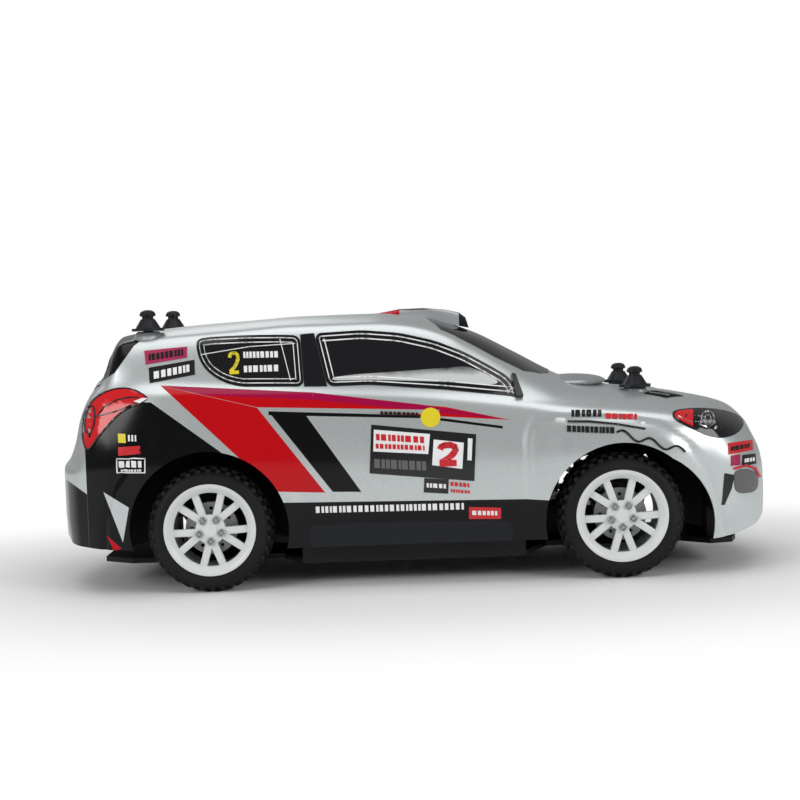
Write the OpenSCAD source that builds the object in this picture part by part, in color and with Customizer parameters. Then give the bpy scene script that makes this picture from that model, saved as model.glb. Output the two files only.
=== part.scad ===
/* [Body] */
// Length over the bumpers
body_len = 282; // [276:1:288]
// Greatest width over the wheel flares
body_w = 118; // [117:1:124]
// Shell wall thickness at roof, sides and ends
shell_t = 1.4; // [1:0.1:2]
// Roof height above the hem of the sills
roof_rise = 88; // [84:1:90]

/* [Wheels] */
// Distance between the axles
wheelbase = 156; // [154:1:158]
// Tyre diameter
tyre_d = 48; // [46:1:49]
// Tyre width
tyre_w = 22; // [20:1:22]
// Outer face of a tyre from the centre plane
tyre_face_y = 55; // [54.5:0.5:55.5]
// Rim diameter at the bead
rim_d = 35; // [33:1:37]
// Spoke pairs in a rim
spoke_pairs = 5; // [4:1:7]

/* [Chassis] */
// Underside of the chassis pan above the ground
ride_h = 8.5; // [7.5:0.5:10]
// Pan thickness
pan_t = 2; // [1.5:0.25:2.5]
// Half width of the tub between the wheels
tub_half = 44; // [40:1:46]

/* [Front suspension and steering] */
// Inner pivots from the centre plane
pivot_in = 14; // [13:0.5:15]
// Outer pivots and kingpins from the centre plane
pivot_out = 34; // [33.5:0.5:35]
// Lower pivot height
pivot_low = 14; // [13.5:0.5:15]
// Upper pivot height
pivot_high = 33; // [32:0.5:34]
// Steering arm length
steer_arm = 10; // [9:0.5:10.5]

/* [Drive] */
// Gear module
gear_m = 0.6; // [0.6:0.1:0.6]
// Teeth on the motor pinion
teeth_motor = 12; // [12:1:12]
// Teeth on the large layshaft gear
teeth_lay = 36; // [36:1:36]
// Teeth on the small layshaft pinion
teeth_lay_small = 12; // [12:1:12]
// Teeth on the rear axle gear
teeth_axle = 36; // [36:1:36]
// Motor can diameter
motor_d = 24.4; // [20:0.2:25]

/* [Hidden] */
half_len = body_len / 2;
axle_x = wheelbase / 2;
wheel_r = tyre_d / 2;
rim_r = rim_d / 2;
post_front = [89, 22];
post_rear = [-101.5, 33];
post_r = 2;
cap_front_z = 71;
cap_rear_z = 99.8;
pin_r = 1;
running = 0.06;
stub_r = 2.5;
shaft_r = 2.5;
damper_x = 81.5;
damper_y = 23;
servo_x = axle_x - 18;
link_z = 26.2;
lay_turn = 35;
motor_turn = -25;
axle_gear_y = 7;
lay_gear_y = 12;
gear_w = 4;
lay_x = -axle_x + gear_m * (teeth_axle + teeth_lay_small) / 2 * cos(lay_turn);
lay_z = wheel_r + gear_m * (teeth_axle + teeth_lay_small) / 2 * sin(lay_turn);
motor_x = lay_x + gear_m * (teeth_lay + teeth_motor) / 2 * cos(motor_turn);
motor_z = lay_z + gear_m * (teeth_lay + teeth_motor) / 2 * sin(motor_turn);

silver = [0.72, 0.73, 0.75];
black = [0.08, 0.08, 0.09];
dark = [0.2, 0.2, 0.22];
steel = [0.6, 0.6, 0.62];
white = [0.92, 0.92, 0.92];

// Lengthwise feature lines of the shell, tail to nose: x, half width, height.
hem_line = [[-141, 8, 21], [-139.5, 18.5, 20.6], [-136, 31.5, 20], [-132.5, 42, 19], [-128, 48, 18.5],
    [-115, 54, 17.5], [-78, 56.5, 16.5], [-45, 54.5, 16], [0, 54, 16], [44, 54.5, 16], [78, 56.5, 15],
    [112, 53.5, 14], [120, 51.5, 15], [130, 44.5, 17.5], [136, 32.5, 20], [139, 21, 21], [141, 8, 21.5]];
rocker_line = [[-141, 9, 32], [-139.5, 20, 31.5], [-136.2, 33.5, 31], [-133, 43, 31], [-128, 50, 31],
    [-115, 56.5, 31], [-95, 58.6, 31], [-60, 58.6, 31], [-45, 56.6, 31], [0, 56, 31], [45, 56.6, 31],
    [60, 58.4, 31], [95, 58.4, 31], [112, 56, 29], [120, 54, 29], [130, 46.5, 29], [136, 34, 29],
    [139, 22.5, 29], [141, 9, 29]];
waist_line = [[-141, 9, 44], [-139.5, 20, 44.5], [-136.2, 33.5, 45], [-133, 43, 45.5], [-128, 50, 46.5],
    [-115, 56.6, 48], [-95, 59, 49], [-60, 59, 49], [-45, 57, 47], [0, 56.5, 46], [45, 57, 46],
    [60, 59, 48], [95, 59, 48], [112, 55.7, 44], [120, 53.5, 42], [130, 46, 39], [136, 33, 38],
    [139, 22, 37], [141, 8.5, 36.5]];
shoulder_line = [[-141, 8, 46.6], [-139.5, 18.5, 47], [-136, 31, 47.6], [-132, 41, 49], [-128, 46, 51],
    [-125, 48.5, 60], [-122, 49.8, 67], [-115, 52, 71.5], [-95, 54.5, 74], [-60, 54.5, 73],
    [-40, 54, 71.5], [0, 53.5, 69], [45, 53.5, 65], [95, 54.5, 60.5], [112, 52.5, 57.5],
    [120, 49.5, 53.5], [130, 42, 48.5], [136, 29.5, 44], [139, 19, 42], [141, 7, 41]];
belt_line = [[-141, 7, 47.4], [-139.5, 16, 47.8], [-136, 27, 48.6], [-132, 36.5, 50.5], [-128, 42.5, 54],
    [-125.6, 44.5, 68], [-122, 45.5, 75], [-115, 48, 78.5], [-105, 49.5, 80], [-60, 50.5, 78.5],
    [-40, 50.5, 77.5], [0, 50, 75], [37, 49.5, 70.5], [60, 48, 67.5], [95, 46.5, 64.5],
    [112, 44.5, 61.5], [120, 42, 58.5], [130, 36, 53], [136, 26, 46.5], [139, 16, 44.5], [141, 6, 43]];
rail_line = [[-141, 5, 47.6], [-139.5, 12, 48.5], [-136, 22, 50], [-132, 30, 53.5], [-128.8, 34.5, 60],
    [-126.8, 36.5, 69], [-122, 38, 77], [-117, 38.5, 83.5], [-114.6, 38.5, 91], [-111.5, 38.5, 95.4],
    [-98, 38.5, 97], [-72, 39, 98.4], [-44, 39, 99.8], [-15, 38.5, 99.7], [-3, 38, 98.8], [6, 38, 97],
    [15, 38.3, 93.6], [24, 39, 88.5], [38, 40, 80.5], [50, 39.5, 74.5], [60, 37.5, 71.5],
    [95, 35.5, 67.5], [112, 33.5, 64.8], [120, 31, 61.8], [130, 27, 57], [136, 20, 49.5],
    [139, 12, 46.5], [141, 4.5, 44.5]];
crown_line = [[-141, 2.5, 47.7], [-139, 7, 50], [-135.6, 12, 58], [-133.2, 16, 65], [-129, 19, 72.5],
    [-124.5, 21, 79], [-121, 21, 82.5], [-118.4, 21, 91], [-114.6, 21, 96.4], [-95, 22, 100],
    [-70, 22.5, 101.6], [-42, 22.5, 102.9], [-14, 22.5, 102.9], [5, 22.3, 100.6], [22, 22, 95],
    [40, 21.5, 85.5], [57, 20.5, 75.6], [66, 19.5, 72.4], [98, 18, 69], [112, 17, 66.4],
    [120, 16, 64.2], [130, 14.5, 59.5], [136, 12, 52.5], [139, 7, 48], [141, 2.5, 45]];
centre_line = [[-141, 0, 47.7], [-138, 0, 53], [-136.3, 0, 60], [-134.6, 0, 68], [-128, 0, 78.6], [-123.3, 0, 83.3],
    [-119.7, 0, 94.6], [-116.2, 0, 97.9], [-91, 0, 101.1], [-63, 0, 102.6], [-42, 0, 103.6],
    [-14, 0, 103.7], [5, 0, 101.6], [24, 0, 95.7], [42, 0, 86.4], [58, 0, 77.6],
    [68, 0, 73.6], [98, 0, 69.4], [112, 0, 66.9], [127.7, 0, 62.7], [136, 0, 55.9], [139, 0, 50.8], [141, 0, 45.6]];
LINES = [hem_line, rocker_line, waist_line, shoulder_line, belt_line, rail_line, crown_line, centre_line];

function line_slope(p, i, k) = (p[i + 1][k] - p[i][k]) / (p[i + 1][0] - p[i][0]);
function line_turn(p, i, k) =
    i == 0 ? line_slope(p, 0, k) :
    i == len(p) - 1 ? line_slope(p, i - 1, k) :
    let (a = line_slope(p, i - 1, k), b = line_slope(p, i, k)) a * b <= 0 ? 0 : 2 * a * b / (a + b);
function line_step(p, x, i = 0) = i >= len(p) - 2 || x < p[i + 1][0] ? i : line_step(p, x, i + 1);
// Smooth reading of a line at x, with no overshoot between its points.
function line_at(p, x, k) =
    let (i = line_step(p, x), h = p[i + 1][0] - p[i][0], t = (x - p[i][0]) / h)
    p[i][k] * (2 * t * t * t - 3 * t * t + 1) + p[i + 1][k] * (3 * t * t - 2 * t * t * t)
    + h * line_turn(p, i, k) * (t * t * t - 2 * t * t + t)
    + h * line_turn(p, i + 1, k) * (t * t * t - t * t);

// Half section at one station, hem to roof centre, smoothed across the lines.
function half_section(x, cuts) =
    let (p = [for (i = [0:len(LINES) - 1]) [i, line_at(LINES[i], x, 1), line_at(LINES[i], x, 2)]])
    [for (s = [0:(len(LINES) - 1) * cuts]) [line_at(p, s / cuts, 1), line_at(p, s / cuts, 2)]];
function ring(x, cuts, drop) =
    let (h = half_section(x, cuts), n = len(h), low = drop > 0 ? [[h[0][0], h[0][1] - drop]] : [],
         side = concat(low, h))
    concat([for (q = side) [x, q[0], q[1]]],
           [for (i = [len(side) - 2:-1:0]) [x, -side[i][0], side[i][1]]]);

stations = concat([-141, -140, -138.6, -137.4, -136.2, -135, -133, -130.5, -127, -124, -122, -120.4, -118.5],
    [for (x = [-115:10:125]) x], [130, 134, 137, 139.4, 141]);

module body_solid(drop) {
    rings = [for (x = stations) ring(x, 2, drop)];
    n = len(rings[0]);
    m = len(rings);
    points = [for (r = rings) for (q = r)
        [q[0] * half_len / 141, q[1] * body_w / 118, 16 + (q[2] - 16) * roof_rise / 88]];
    sides = [for (i = [0:m - 2]) for (j = [0:n - 1]) let (k = (j + 1) % n)
        each [[i * n + j, (i + 1) * n + k, i * n + k], [i * n + j, (i + 1) * n + j, (i + 1) * n + k]]];
    tail = [[for (j = [0:n - 1]) j]];
    nose = [[for (j = [n - 1:-1:0]) (m - 1) * n + j]];
    polyhedron(points, concat(sides, tail, nose), convexity = 8);
}

// The vacuum-formed one-piece car body with its open wheel arches.
module body_shell() {
    color(silver) resize([body_len, 0, 0]) difference() {
        union() {
            difference() {
                body_solid(0);
                translate([0, 0, 16])
                    scale([1 - shell_t / half_len, 1 - 2 * shell_t / body_w, 1 - shell_t / roof_rise])
                        translate([0, 0, -16]) body_solid(30);
            }
            for (s = [-1, 1]) {
                translate([post_front[0], s * post_front[1], 66])
                    cylinder(h = cap_front_z - 66, r = 4, $fn = 24);
                translate([post_rear[0], s * post_rear[1], 95])
                    cylinder(h = cap_rear_z - 95, r = 4, $fn = 24);
            }
        }
        for (s = [-1, 1]) {
            translate([-axle_x, s * 62, wheel_r]) rotate([90, 0, 0])
                cylinder(h = 50, r = 30, center = true, $fn = 64);
            translate([axle_x + 0.5, s * 62, wheel_r - 1.5]) rotate([90, 0, 0])
                cylinder(h = 50, r = 29.5, center = true, $fn = 64);
            translate([axle_x + 6, s * 62, wheel_r - 4.5]) rotate([90, 0, 0])
                cylinder(h = 50, r = 29, center = true, $fn = 64);
            translate([post_front[0], s * post_front[1], 50]) cylinder(h = 40, r = post_r + 0.3, $fn = 24);
            translate([post_rear[0], s * post_rear[1], 80]) cylinder(h = 40, r = post_r + 0.3, $fn = 24);
        }
    }
}

// Ram-air scoop glued over the front edge of the roof.
module roof_scoop() {
    color(silver) difference() {
        translate([0, 9, 0]) rotate([90, 0, 0]) linear_extrude(height = 18)
            polygon([[-14.5, 104], [-1, 106.2], [9, 105.8], [17.4, 104.3], [22.6, 102.6], [24.4, 98.2],
                     [16, 101.6], [5, 103.6]]);
        translate([4, 0, 103.6]) rotate([0, 13, 0]) translate([0, -7.6, -3]) cube([30, 15.2, 4.2]);
    }
}

// Rubber body cap pushed over a body post.
module body_cap(x, y, z) {
    color(black) translate([x, y, z]) rotate_extrude($fn = 48)
        polygon([[post_r + 0.1, 0], [6.3, 0], [6.3, 1.1], [4.9, 1.1], [2.75, 4.6], [2.2, 4.7], [2.2, 5.6],
                 [3.1, 5.9], [3.1, 6.6], [2.6, 7.5], [1.5, 8.1], [0, 8.2], [0, 4.4], [post_r + 0.1, 4.4]]);
}

module cap_front_left() {
    body_cap(post_front[0], post_front[1], cap_front_z);
}

module cap_front_right() {
    body_cap(post_front[0], -post_front[1], cap_front_z);
}

module cap_rear_left() {
    body_cap(post_rear[0], post_rear[1], cap_rear_z);
}

module cap_rear_right() {
    body_cap(post_rear[0], -post_rear[1], cap_rear_z);
}

SCREWS = [[74, 5], [74, -5], [84, 5], [84, -5], [-88, 10], [-60, 14.5], [-78, -14], [-101.5, 9],
    [-101.5, -9], [121, 14], [121, -14]];
PAN_HALF = [[-124, 22], [-112, 30], [-52, 30], [-44, tub_half], [42, tub_half], [52, 21], [106, 21],
    [116, 30], [125, 28], [128, 20]];
function mirrored(p) = concat(p, [for (i = [len(p) - 1:-1:0]) [p[i][0], -p[i][1]]]);

// Flat moulded tub that carries everything; its underside is the flat face.
module chassis_pan() {
    color(black) difference() {
        union() {
            translate([0, 0, ride_h]) linear_extrude(height = pan_t) polygon(mirrored(PAN_HALF));
            for (s = [-1, 1]) translate([-44, s * (tub_half - 1) - 1, ride_h]) cube([86, 2, 8.5]);
            for (x = [-44, 38]) for (s = [-1, 1])
                translate([x, s * (tub_half - 4) - 2, ride_h]) cube([2, 4, 7]);
        }
        for (q = SCREWS) {
            translate([q[0], q[1], ride_h - 1]) cylinder(h = 8, r = 1.3, $fn = 24);
            translate([q[0], q[1], ride_h - 1]) cylinder(h = 2.3, r = 2.4, $fn = 24);
        }
    }
}

// Pan-head screws, driven up from below and sunk in the pan.
module chassis_screws() {
    color(steel) for (q = SCREWS) difference() {
        union() {
            translate([q[0], q[1], ride_h + 0.3]) cylinder(h = 1, r = 2.2, $fn = 24);
            translate([q[0], q[1], ride_h + 1.3]) cylinder(h = 4, r = 1.2, $fn = 24);
        }
        for (a = [0, 90]) translate([q[0], q[1], ride_h]) rotate([0, 0, a + 45])
            translate([-1.4, -0.25, 0]) cube([2.8, 0.5, 0.9]);
    }
}

module screw_sockets(z) {
    for (q = SCREWS) translate([q[0], q[1], z - 1]) cylinder(h = 6.5, r = 1.2, $fn = 24);
}

module rod_x(x0, x1, y, z, r) {
    translate([x0, y, z]) rotate([0, 90, 0]) cylinder(h = x1 - x0, r = r, $fn = 32);
}

// Block between the front wheels with the lugs for the inner hinge pins.
module front_bulkhead() {
    top = ride_h + pan_t;
    color(dark) difference() {
        union() {
            translate([70, -10, top]) cube([18, 20, 9.5]);
            translate([73, -8, top]) cube([15, 16, pivot_high + 5 - top]);
            translate([68, -16.3, pivot_high + 2.4]) cube([20, 32.6, 2.6]);
            for (s = [-1, 1]) {
                for (x = [67.5, 86]) translate([x, s > 0 ? 8 : -16.3, top])
                    cube([2.5, 8.3, pivot_low + 2.3 - top]);
                for (x = [68.5, 75]) translate([x, s * 14 - 2.3, pivot_high - 2.5]) cube([2.4, 4.6, 5]);
            }
            translate([67.5, -9, top]) cube([2.5, 18, 5]);
        }
        screw_sockets(top);
        for (s = [-1, 1]) {
            rod_x(60, 95, s * pivot_in, pivot_low, pin_r);
            rod_x(60, 80, s * pivot_in, pivot_high, pin_r);
        }
    }
}

// Steel pins the front arms and links swing on.
module suspension_pins() {
    color(steel) for (s = [-1, 1]) {
        rod_x(67, 89, s * pivot_in, pivot_low, pin_r);
        rod_x(68, 77.9, s * pivot_in, pivot_high, pin_r);
    }
}

// T-shaped tower the dampers hang from and the front posts stand on.
module front_shock_tower() {
    color(dark) difference() {
        union() {
            translate([76, -8, pivot_high + 5]) cube([12, 16, 50 - pivot_high - 5]);
            translate([76, -28, 50]) cube([16, 56, 3]);
        }
        for (s = [-1, 1]) translate([82, s * 4 - 2, 40]) cube([8, 4, 8]);
    }
}

module front_posts() {
    color(black) for (s = [-1, 1]) translate([post_front[0], s * post_front[1], 53]) {
        cylinder(h = cap_front_z + 4.2 - 53, r = post_r, $fn = 32);
        cylinder(h = 2, r = 3, $fn = 32);
    }
}

// Foam bumper block behind the nose.
module front_bumper() {
    top = ride_h + pan_t;
    color(black) difference() {
        union() {
            translate([116, -24, top]) cube([10, 48, 12]);
            translate([0, 0, top + 11]) linear_extrude(height = 12)
                polygon(mirrored([[117, 38], [126, 37], [131, 32], [133, 24]]));
        }
        screw_sockets(top);
    }
}

// Bracket behind the rear axle with the cross bar the rear posts stand on.
module rear_post_mount() {
    top = ride_h + pan_t;
    color(dark) difference() {
        union() {
            translate([-105, -14, top]) cube([7, 28, 40 - 0.5]);
            translate([-105, -37, 50]) cube([7, 74, 4]);
        }
        translate([-106, -9, 22]) cube([9, 18, 22]);
        screw_sockets(top);
    }
}

module rear_posts() {
    color(black) for (s = [-1, 1]) translate([post_rear[0], s * post_rear[1], 54]) {
        cylinder(h = cap_rear_z + 4.2 - 54, r = post_r, $fn = 32);
        cylinder(h = 2, r = 3, $fn = 32);
    }
}

CASE_OUT = [[-93, 10.5], [-47, 10.5], [-45, 14], [-45, 32], [-54, 44], [-60, 46.5], [-72, 46.5],
    [-80, 42], [-91.5, 34], [-93, 28]];
CASE_IN = [[-91.5, 12], [-48.5, 12], [-46.5, 14.5], [-46.5, 31.4], [-54.8, 42.7], [-60.4, 45],
    [-71.6, 45], [-79.2, 40.7], [-90, 33.1], [-91.5, 27.6]];

module upright(y0, y1) {
    translate([0, y1, 0]) rotate([90, 0, 0]) linear_extrude(height = y1 - y0) children();
}

module rod_y(x, y0, y1, z, r) {
    translate([x, y1, z]) rotate([90, 0, 0]) cylinder(h = y1 - y0, r = r, $fn = 48);
}

// Open-sided gear case with the right bearing leg of the rear axle.
module gear_case() {
    color(dark) difference() {
        union() {
            upright(3, 5.8) polygon(CASE_OUT);
            difference() {
                upright(5.8, 17.5) polygon(CASE_OUT);
                upright(5.7, 18) polygon(CASE_IN);
            }
            translate([-86, -24, 10.5]) cube([16, 27.5, 1.5]);
            translate([-84, -24, 10.5]) cube([12, 4, 13.5]);
            rod_y(-axle_x, -24, -20, wheel_r, 6);
            translate([-91, 8, 12]) cube([5, 4, 4]);
            translate([-63, 12.5, 12]) cube([5, 4, 4]);
            translate([-81, -17, 12]) cube([6, 6, 4]);
        }
        rod_y(-axle_x, -30, 10, wheel_r, shaft_r + running);
        rod_y(lay_x, 2, 10, lay_z, 1.5 + running);
        rod_y(motor_x, 2, 10, motor_z, 3);
        screw_sockets(ride_h + pan_t);
    }
}

module gear_case_cover() {
    color(dark) difference() {
        upright(17.5, 19.3) polygon(CASE_OUT);
        rod_y(-axle_x, 10, 30, wheel_r, shaft_r + running);
        rod_y(lay_x, 10, 18.7, lay_z, 1.5 + running);
        rod_y(motor_x, 10, 18.7, motor_z, 1 + running);
    }
}

// Can motor across the car, screwed to the gear case.
module motor_can() {
    color(steel) difference() {
        union() {
            rod_y(motor_x, -25, 3, motor_z, motor_d / 2);
            rod_y(motor_x, 3, 5.5, motor_z, 2.9);
            rod_y(motor_x, -27, -25, motor_z, 3.5);
        }
        rod_y(motor_x, -20, 6, motor_z, 1 + running);
        for (s = [-1, 1]) translate([motor_x + s * 5 - 1, -28, motor_z - 3]) cube([2, 4, 6]);
    }
}

function flank(a, rb, hb) = let (u = a * PI / 180, t = -hb + a - atan(u), r = rb * sqrt(1 + u * u))
    [r, t];
module spur_gear(z, y0, w, turn, bore) {
    rp = gear_m * z / 2;
    rb = rp * cos(20);
    root = rp - 1.25 * gear_m;
    tip = rp + 0.75 * gear_m;
    full = sqrt(tip * tip / (rb * rb) - 1) * 180 / PI;
    hb = 90 / z - 0.06 / rp * 180 / PI + tan(20) * 180 / PI - 20;
    side = concat([[min(root, rb), -hb]], [for (i = [0:4]) flank(full * i / 4, rb, hb)]);
    tooth = concat(side, [for (i = [5:-1:0]) [side[i][0], -side[i][1]]]);
    translate([0, y0 + w, 0]) rotate([90, 0, 0]) linear_extrude(height = w) rotate(turn) difference() {
        polygon([for (k = [0:z - 1]) for (q = tooth) q[0] * [cos(q[1] + 360 * k / z), sin(q[1] + 360 * k / z)]]);
        circle(r = bore, $fn = 48);
    }
}

// Solid rear shaft that both rear wheels are fixed to.
module rear_axle() {
    color(steel) rod_y(-axle_x, -50.5, 50.5, wheel_r, shaft_r);
}

module axle_gear() {
    color(black) translate([-axle_x, 0, wheel_r])
        spur_gear(teeth_axle, axle_gear_y, gear_w, lay_turn, shaft_r);
}

// Layshaft with its large gear and small pinion in one piece.
module lay_gear() {
    color(black) translate([lay_x, 0, lay_z]) {
        spur_gear(teeth_lay_small, axle_gear_y, lay_gear_y - axle_gear_y, lay_turn + 180 + 180 / teeth_lay_small,
            1.4);
        spur_gear(teeth_lay, lay_gear_y, gear_w, motor_turn, 1.4);
        rod_y(0, 3.2, 18.5, 0, 1.5);
    }
}

module motor_pinion() {
    color(steel) translate([motor_x, 0, motor_z]) {
        spur_gear(teeth_motor, lay_gear_y, gear_w, motor_turn + 180 + 180 / teeth_motor, 0.9);
        rod_y(0, -15, 18.5, 0, 1);
    }
}

// Two rows of cells in shrink wrap.
module battery_pack() {
    color([0.15, 0.3, 0.6]) {
        for (y = [-31, -15.2]) rod_x(-38, 34, y, 19, 8);
        translate([-38, -31, 11]) cube([72, 15.8, 12]);
    }
}

module battery_strap() {
    color(black) translate([-4, 0, 0]) rotate([90, 0, 90]) linear_extrude(height = 9)
        polygon([[-41, 10.5], [-39.4, 10.5], [-39.4, 27.4], [-6.6, 27.4], [-6.6, 10.5], [-5, 10.5], [-5, 27.8],
                 [-6.2, 29], [-39.8, 29], [-41, 27.8]]);
}

module speed_control() {
    color(black) {
        translate([-34, 10, ride_h + pan_t]) cube([32, 26, 10]);
        for (i = [0:6]) translate([-32 + i * 4, 13, ride_h + pan_t + 10]) cube([1.6, 20, 4]);
    }
}

module receiver() {
    color(dark) difference() {
        translate([4, 12, ride_h + pan_t]) cube([28, 22, 12]);
        translate([30, 15, ride_h + pan_t + 3]) cube([3, 16, 5]);
    }
}

module switch_housing() {
    color(black) difference() {
        translate([36, 18, ride_h + pan_t]) cube([6, 16, 8]);
        translate([37.8, 21.7, ride_h + pan_t + 4]) cube([2.4, 8.6, 5]);
    }
}

module switch_lever() {
    color(steel) translate([38.05, 22, ride_h + pan_t + 4.3]) cube([1.9, 3.6, 6.2]);
}

module steering_servo() {
    top = ride_h + pan_t;
    color(black) difference() {
        union() {
            translate([servo_x - 16, -6, top]) cube([22, 12, 11.5]);
            translate([servo_x - 21, -6, top]) cube([28, 12, 2]);
            translate([servo_x, 0, top + 11]) cylinder(h = 24.2 - top - 11, r = 3.4, $fn = 32);
        }
        translate([servo_x, 0, 19]) cylinder(h = 8, r = 1.5 + running, $fn = 32);
    }
}

// Horn on the servo output; its pin carries the middle of the steering link.
module servo_horn() {
    color(white) {
        translate([servo_x, 0, 19.4]) cylinder(h = 6, r = 1.5, $fn = 32);
        translate([servo_x, 0, 24.6]) cylinder(h = 1.2, r = 2.8, $fn = 32);
        translate([servo_x - steer_arm, -1.5, 24.6]) cube([steer_arm, 3, 1.2]);
        translate([servo_x - steer_arm, 0, 24.6]) cylinder(h = 1.2, r = 2, $fn = 32);
        translate([servo_x - steer_arm, 0, 24.6]) cylinder(h = 4, r = 1, $fn = 32);
    }
}

// One straight bar between both steering arms, with a tongue back to the horn.
module steering_link() {
    bar = axle_x - steer_arm;
    color(steel) difference() {
        union() {
            translate([bar - 2, -pivot_out, link_z]) cube([4, 2 * pivot_out, 1.6]);
            for (s = [-1, 1]) translate([bar, s * pivot_out, link_z]) cylinder(h = 1.6, r = 2.6, $fn = 32);
            translate([servo_x - steer_arm, -2.2, link_z]) cube([bar - servo_x + steer_arm, 4.4, 1.6]);
            translate([servo_x - steer_arm, 0, link_z]) cylinder(h = 1.6, r = 2.8, $fn = 32);
        }
        for (s = [-1, 1]) translate([bar, s * pivot_out, link_z - 1]) cylinder(h = 4, r = 1.3, $fn = 32);
        translate([servo_x - steer_arm, 0, link_z - 1]) cylinder(h = 4, r = 1.1, $fn = 32);
    }
}

module left_or_right(s) {
    if (s > 0) children();
    else mirror([0, 1, 0]) children();
}

// Lower front arm, swinging on the inner pin.
module lower_arm(s) {
    color(dark) left_or_right(s) difference() {
        union() {
            rod_x(70.3, 85.7, pivot_in, pivot_low, 2.2);
            rod_x(70.3, 85.7, pivot_out, pivot_low, 2.2);
            translate([70.3, pivot_in, pivot_low - 1.5]) cube([15.4, pivot_out - pivot_in, 3]);
        }
        translate([73, 29.6, 5]) cube([10, 15, 20]);
        translate([damper_x - 2.7, damper_y - 4, 5]) difference() {
            cube([5.4, 8, 20]);
            rod_x(-1, 7, 4, pivot_low - 5, 0.9);
        }
        rod_x(60, 95, pivot_in, pivot_low, pin_r + running);
        rod_x(60, 95, pivot_out, pivot_low, pin_r + running);
    }
}

module lower_arm_left() {
    lower_arm(1);
}

module lower_arm_right() {
    lower_arm(-1);
}

module upper_link(s) {
    color(steel) left_or_right(s) difference() {
        union() {
            for (y = [pivot_in, pivot_out]) rod_x(71.4, 74.4, y, pivot_high, 2.1);
            translate([71.4, pivot_in, pivot_high - 1.2]) cube([3, pivot_out - pivot_in, 2.4]);
        }
        for (y = [pivot_in, pivot_out]) rod_x(70, 76, y, pivot_high, pin_r + running);
    }
}

module upper_link_left() {
    upper_link(1);
}

module upper_link_right() {
    upper_link(-1);
}

// C-shaped carrier that holds the knuckle's kingpin top and bottom.
module c_hub(s) {
    color(dark) left_or_right(s) {
        difference() {
            union() {
                translate([75, 28.4, 17]) cube([7, 1.8, 14]);
                for (z = [17, 29]) {
                    translate([75, 28.4, z]) cube([7, pivot_out - 28.4, 2]);
                    translate([axle_x, pivot_out, z]) cylinder(h = 2, r = 3.5, $fn = 32);
                }
                rod_x(74, 82, pivot_out, pivot_low, 2.1);
                translate([74, pivot_out - 2.1, pivot_low]) cube([8, 4.2, 3.2]);
                translate([75, pivot_out - 2, 30.8]) cube([7, 4, pivot_high + 2 - 30.8]);
            }
            translate([axle_x, pivot_out, 15.5]) cylinder(h = 17, r = 1.2 + running, $fn = 32);
        }
        rod_x(70.3, 85.7, pivot_out, pivot_low, pin_r);
        rod_x(71.3, 76, pivot_out, pivot_high, pin_r);
    }
}

module c_hub_left() {
    c_hub(1);
}

module c_hub_right() {
    c_hub(-1);
}

// Steering knuckle: kingpin, stub axle and steering arm.
module knuckle(s) {
    color(black) left_or_right(s) {
        translate([axle_x, pivot_out, 17.3]) cylinder(h = 13.4, r = 1.2, $fn = 32);
        translate([axle_x, pivot_out, 19.3]) cylinder(h = 9.4, r = 3, $fn = 32);
        rod_y(axle_x, pivot_out, 50.5, wheel_r, stub_r);
        rod_y(axle_x, pivot_out + 2.5, 41, wheel_r, 4);
        translate([axle_x - steer_arm, pivot_out - 1.6, 20]) cube([steer_arm, 3.2, 1.5]);
        translate([axle_x - steer_arm, pivot_out, 20]) cylinder(h = 1.5, r = 2, $fn = 32);
        translate([axle_x - steer_arm, pivot_out, 20]) cylinder(h = 11.3, r = 1, $fn = 32);
    }
}

module knuckle_left() {
    knuckle(1);
}

module knuckle_right() {
    knuckle(-1);
}

module damper_body(s) {
    color(dark) left_or_right(s) translate([damper_x, damper_y, 0]) difference() {
        union() {
            translate([0, 0, 28]) cylinder(h = 22, r = 2.6, $fn = 32);
            translate([0, 0, 43.6]) cylinder(h = 1.4, r = 3.4, $fn = 32);
        }
        translate([0, 0, 27]) cylinder(h = 20, r = 1 + running, $fn = 32);
    }
}

module damper_body_left() {
    damper_body(1);
}

module damper_body_right() {
    damper_body(-1);
}

module damper_rod(s) {
    color(steel) left_or_right(s) difference() {
        union() {
            rod_x(damper_x - 1.5, damper_x + 1.5, damper_y, pivot_low, 2.2);
            translate([damper_x, damper_y, 15.5]) cylinder(h = 29.5, r = 1, $fn = 32);
            translate([damper_x, damper_y, 17.2]) cylinder(h = 1.3, r = 3.4, $fn = 32);
        }
        rod_x(75, 90, damper_y, pivot_low, 1.1);
    }
}

module damper_rod_left() {
    damper_rod(1);
}

module damper_rod_right() {
    damper_rod(-1);
}

module spring(s) {
    color(steel) left_or_right(s) translate([damper_x, damper_y, 18.5])
        linear_extrude(height = 25.1, twist = -360 * 6, slices = 84)
            translate([3.02, 0]) circle(r = 0.36, $fn = 6);
}

module spring_left() {
    spring(1);
}

module spring_right() {
    spring(-1);
}

// Rubber tyre on its rim.
module tyre(x, s) {
    half = tyre_w / 2;
    color(black) translate([x, s * (tyre_face_y - half), wheel_r]) rotate([90, 0, 0]) rotate_extrude($fn = 96)
        polygon([[rim_r - 0.7, -half + 0.6], [rim_r + 0.3, -half], [wheel_r - 2.6, -half], [wheel_r - 0.9, -half + 1.1],
                 [wheel_r, -half + 3], [wheel_r, half - 3], [wheel_r - 0.9, half - 1.1], [wheel_r - 2.6, half],
                 [rim_r + 0.3, half], [rim_r - 0.7, half - 0.6]]);
}

module tyre_front_left() {
    tyre(axle_x, 1);
}

module tyre_front_right() {
    tyre(axle_x, -1);
}

module tyre_rear_left() {
    tyre(-axle_x, 1);
}

module tyre_rear_right() {
    tyre(-axle_x, -1);
}

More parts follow.
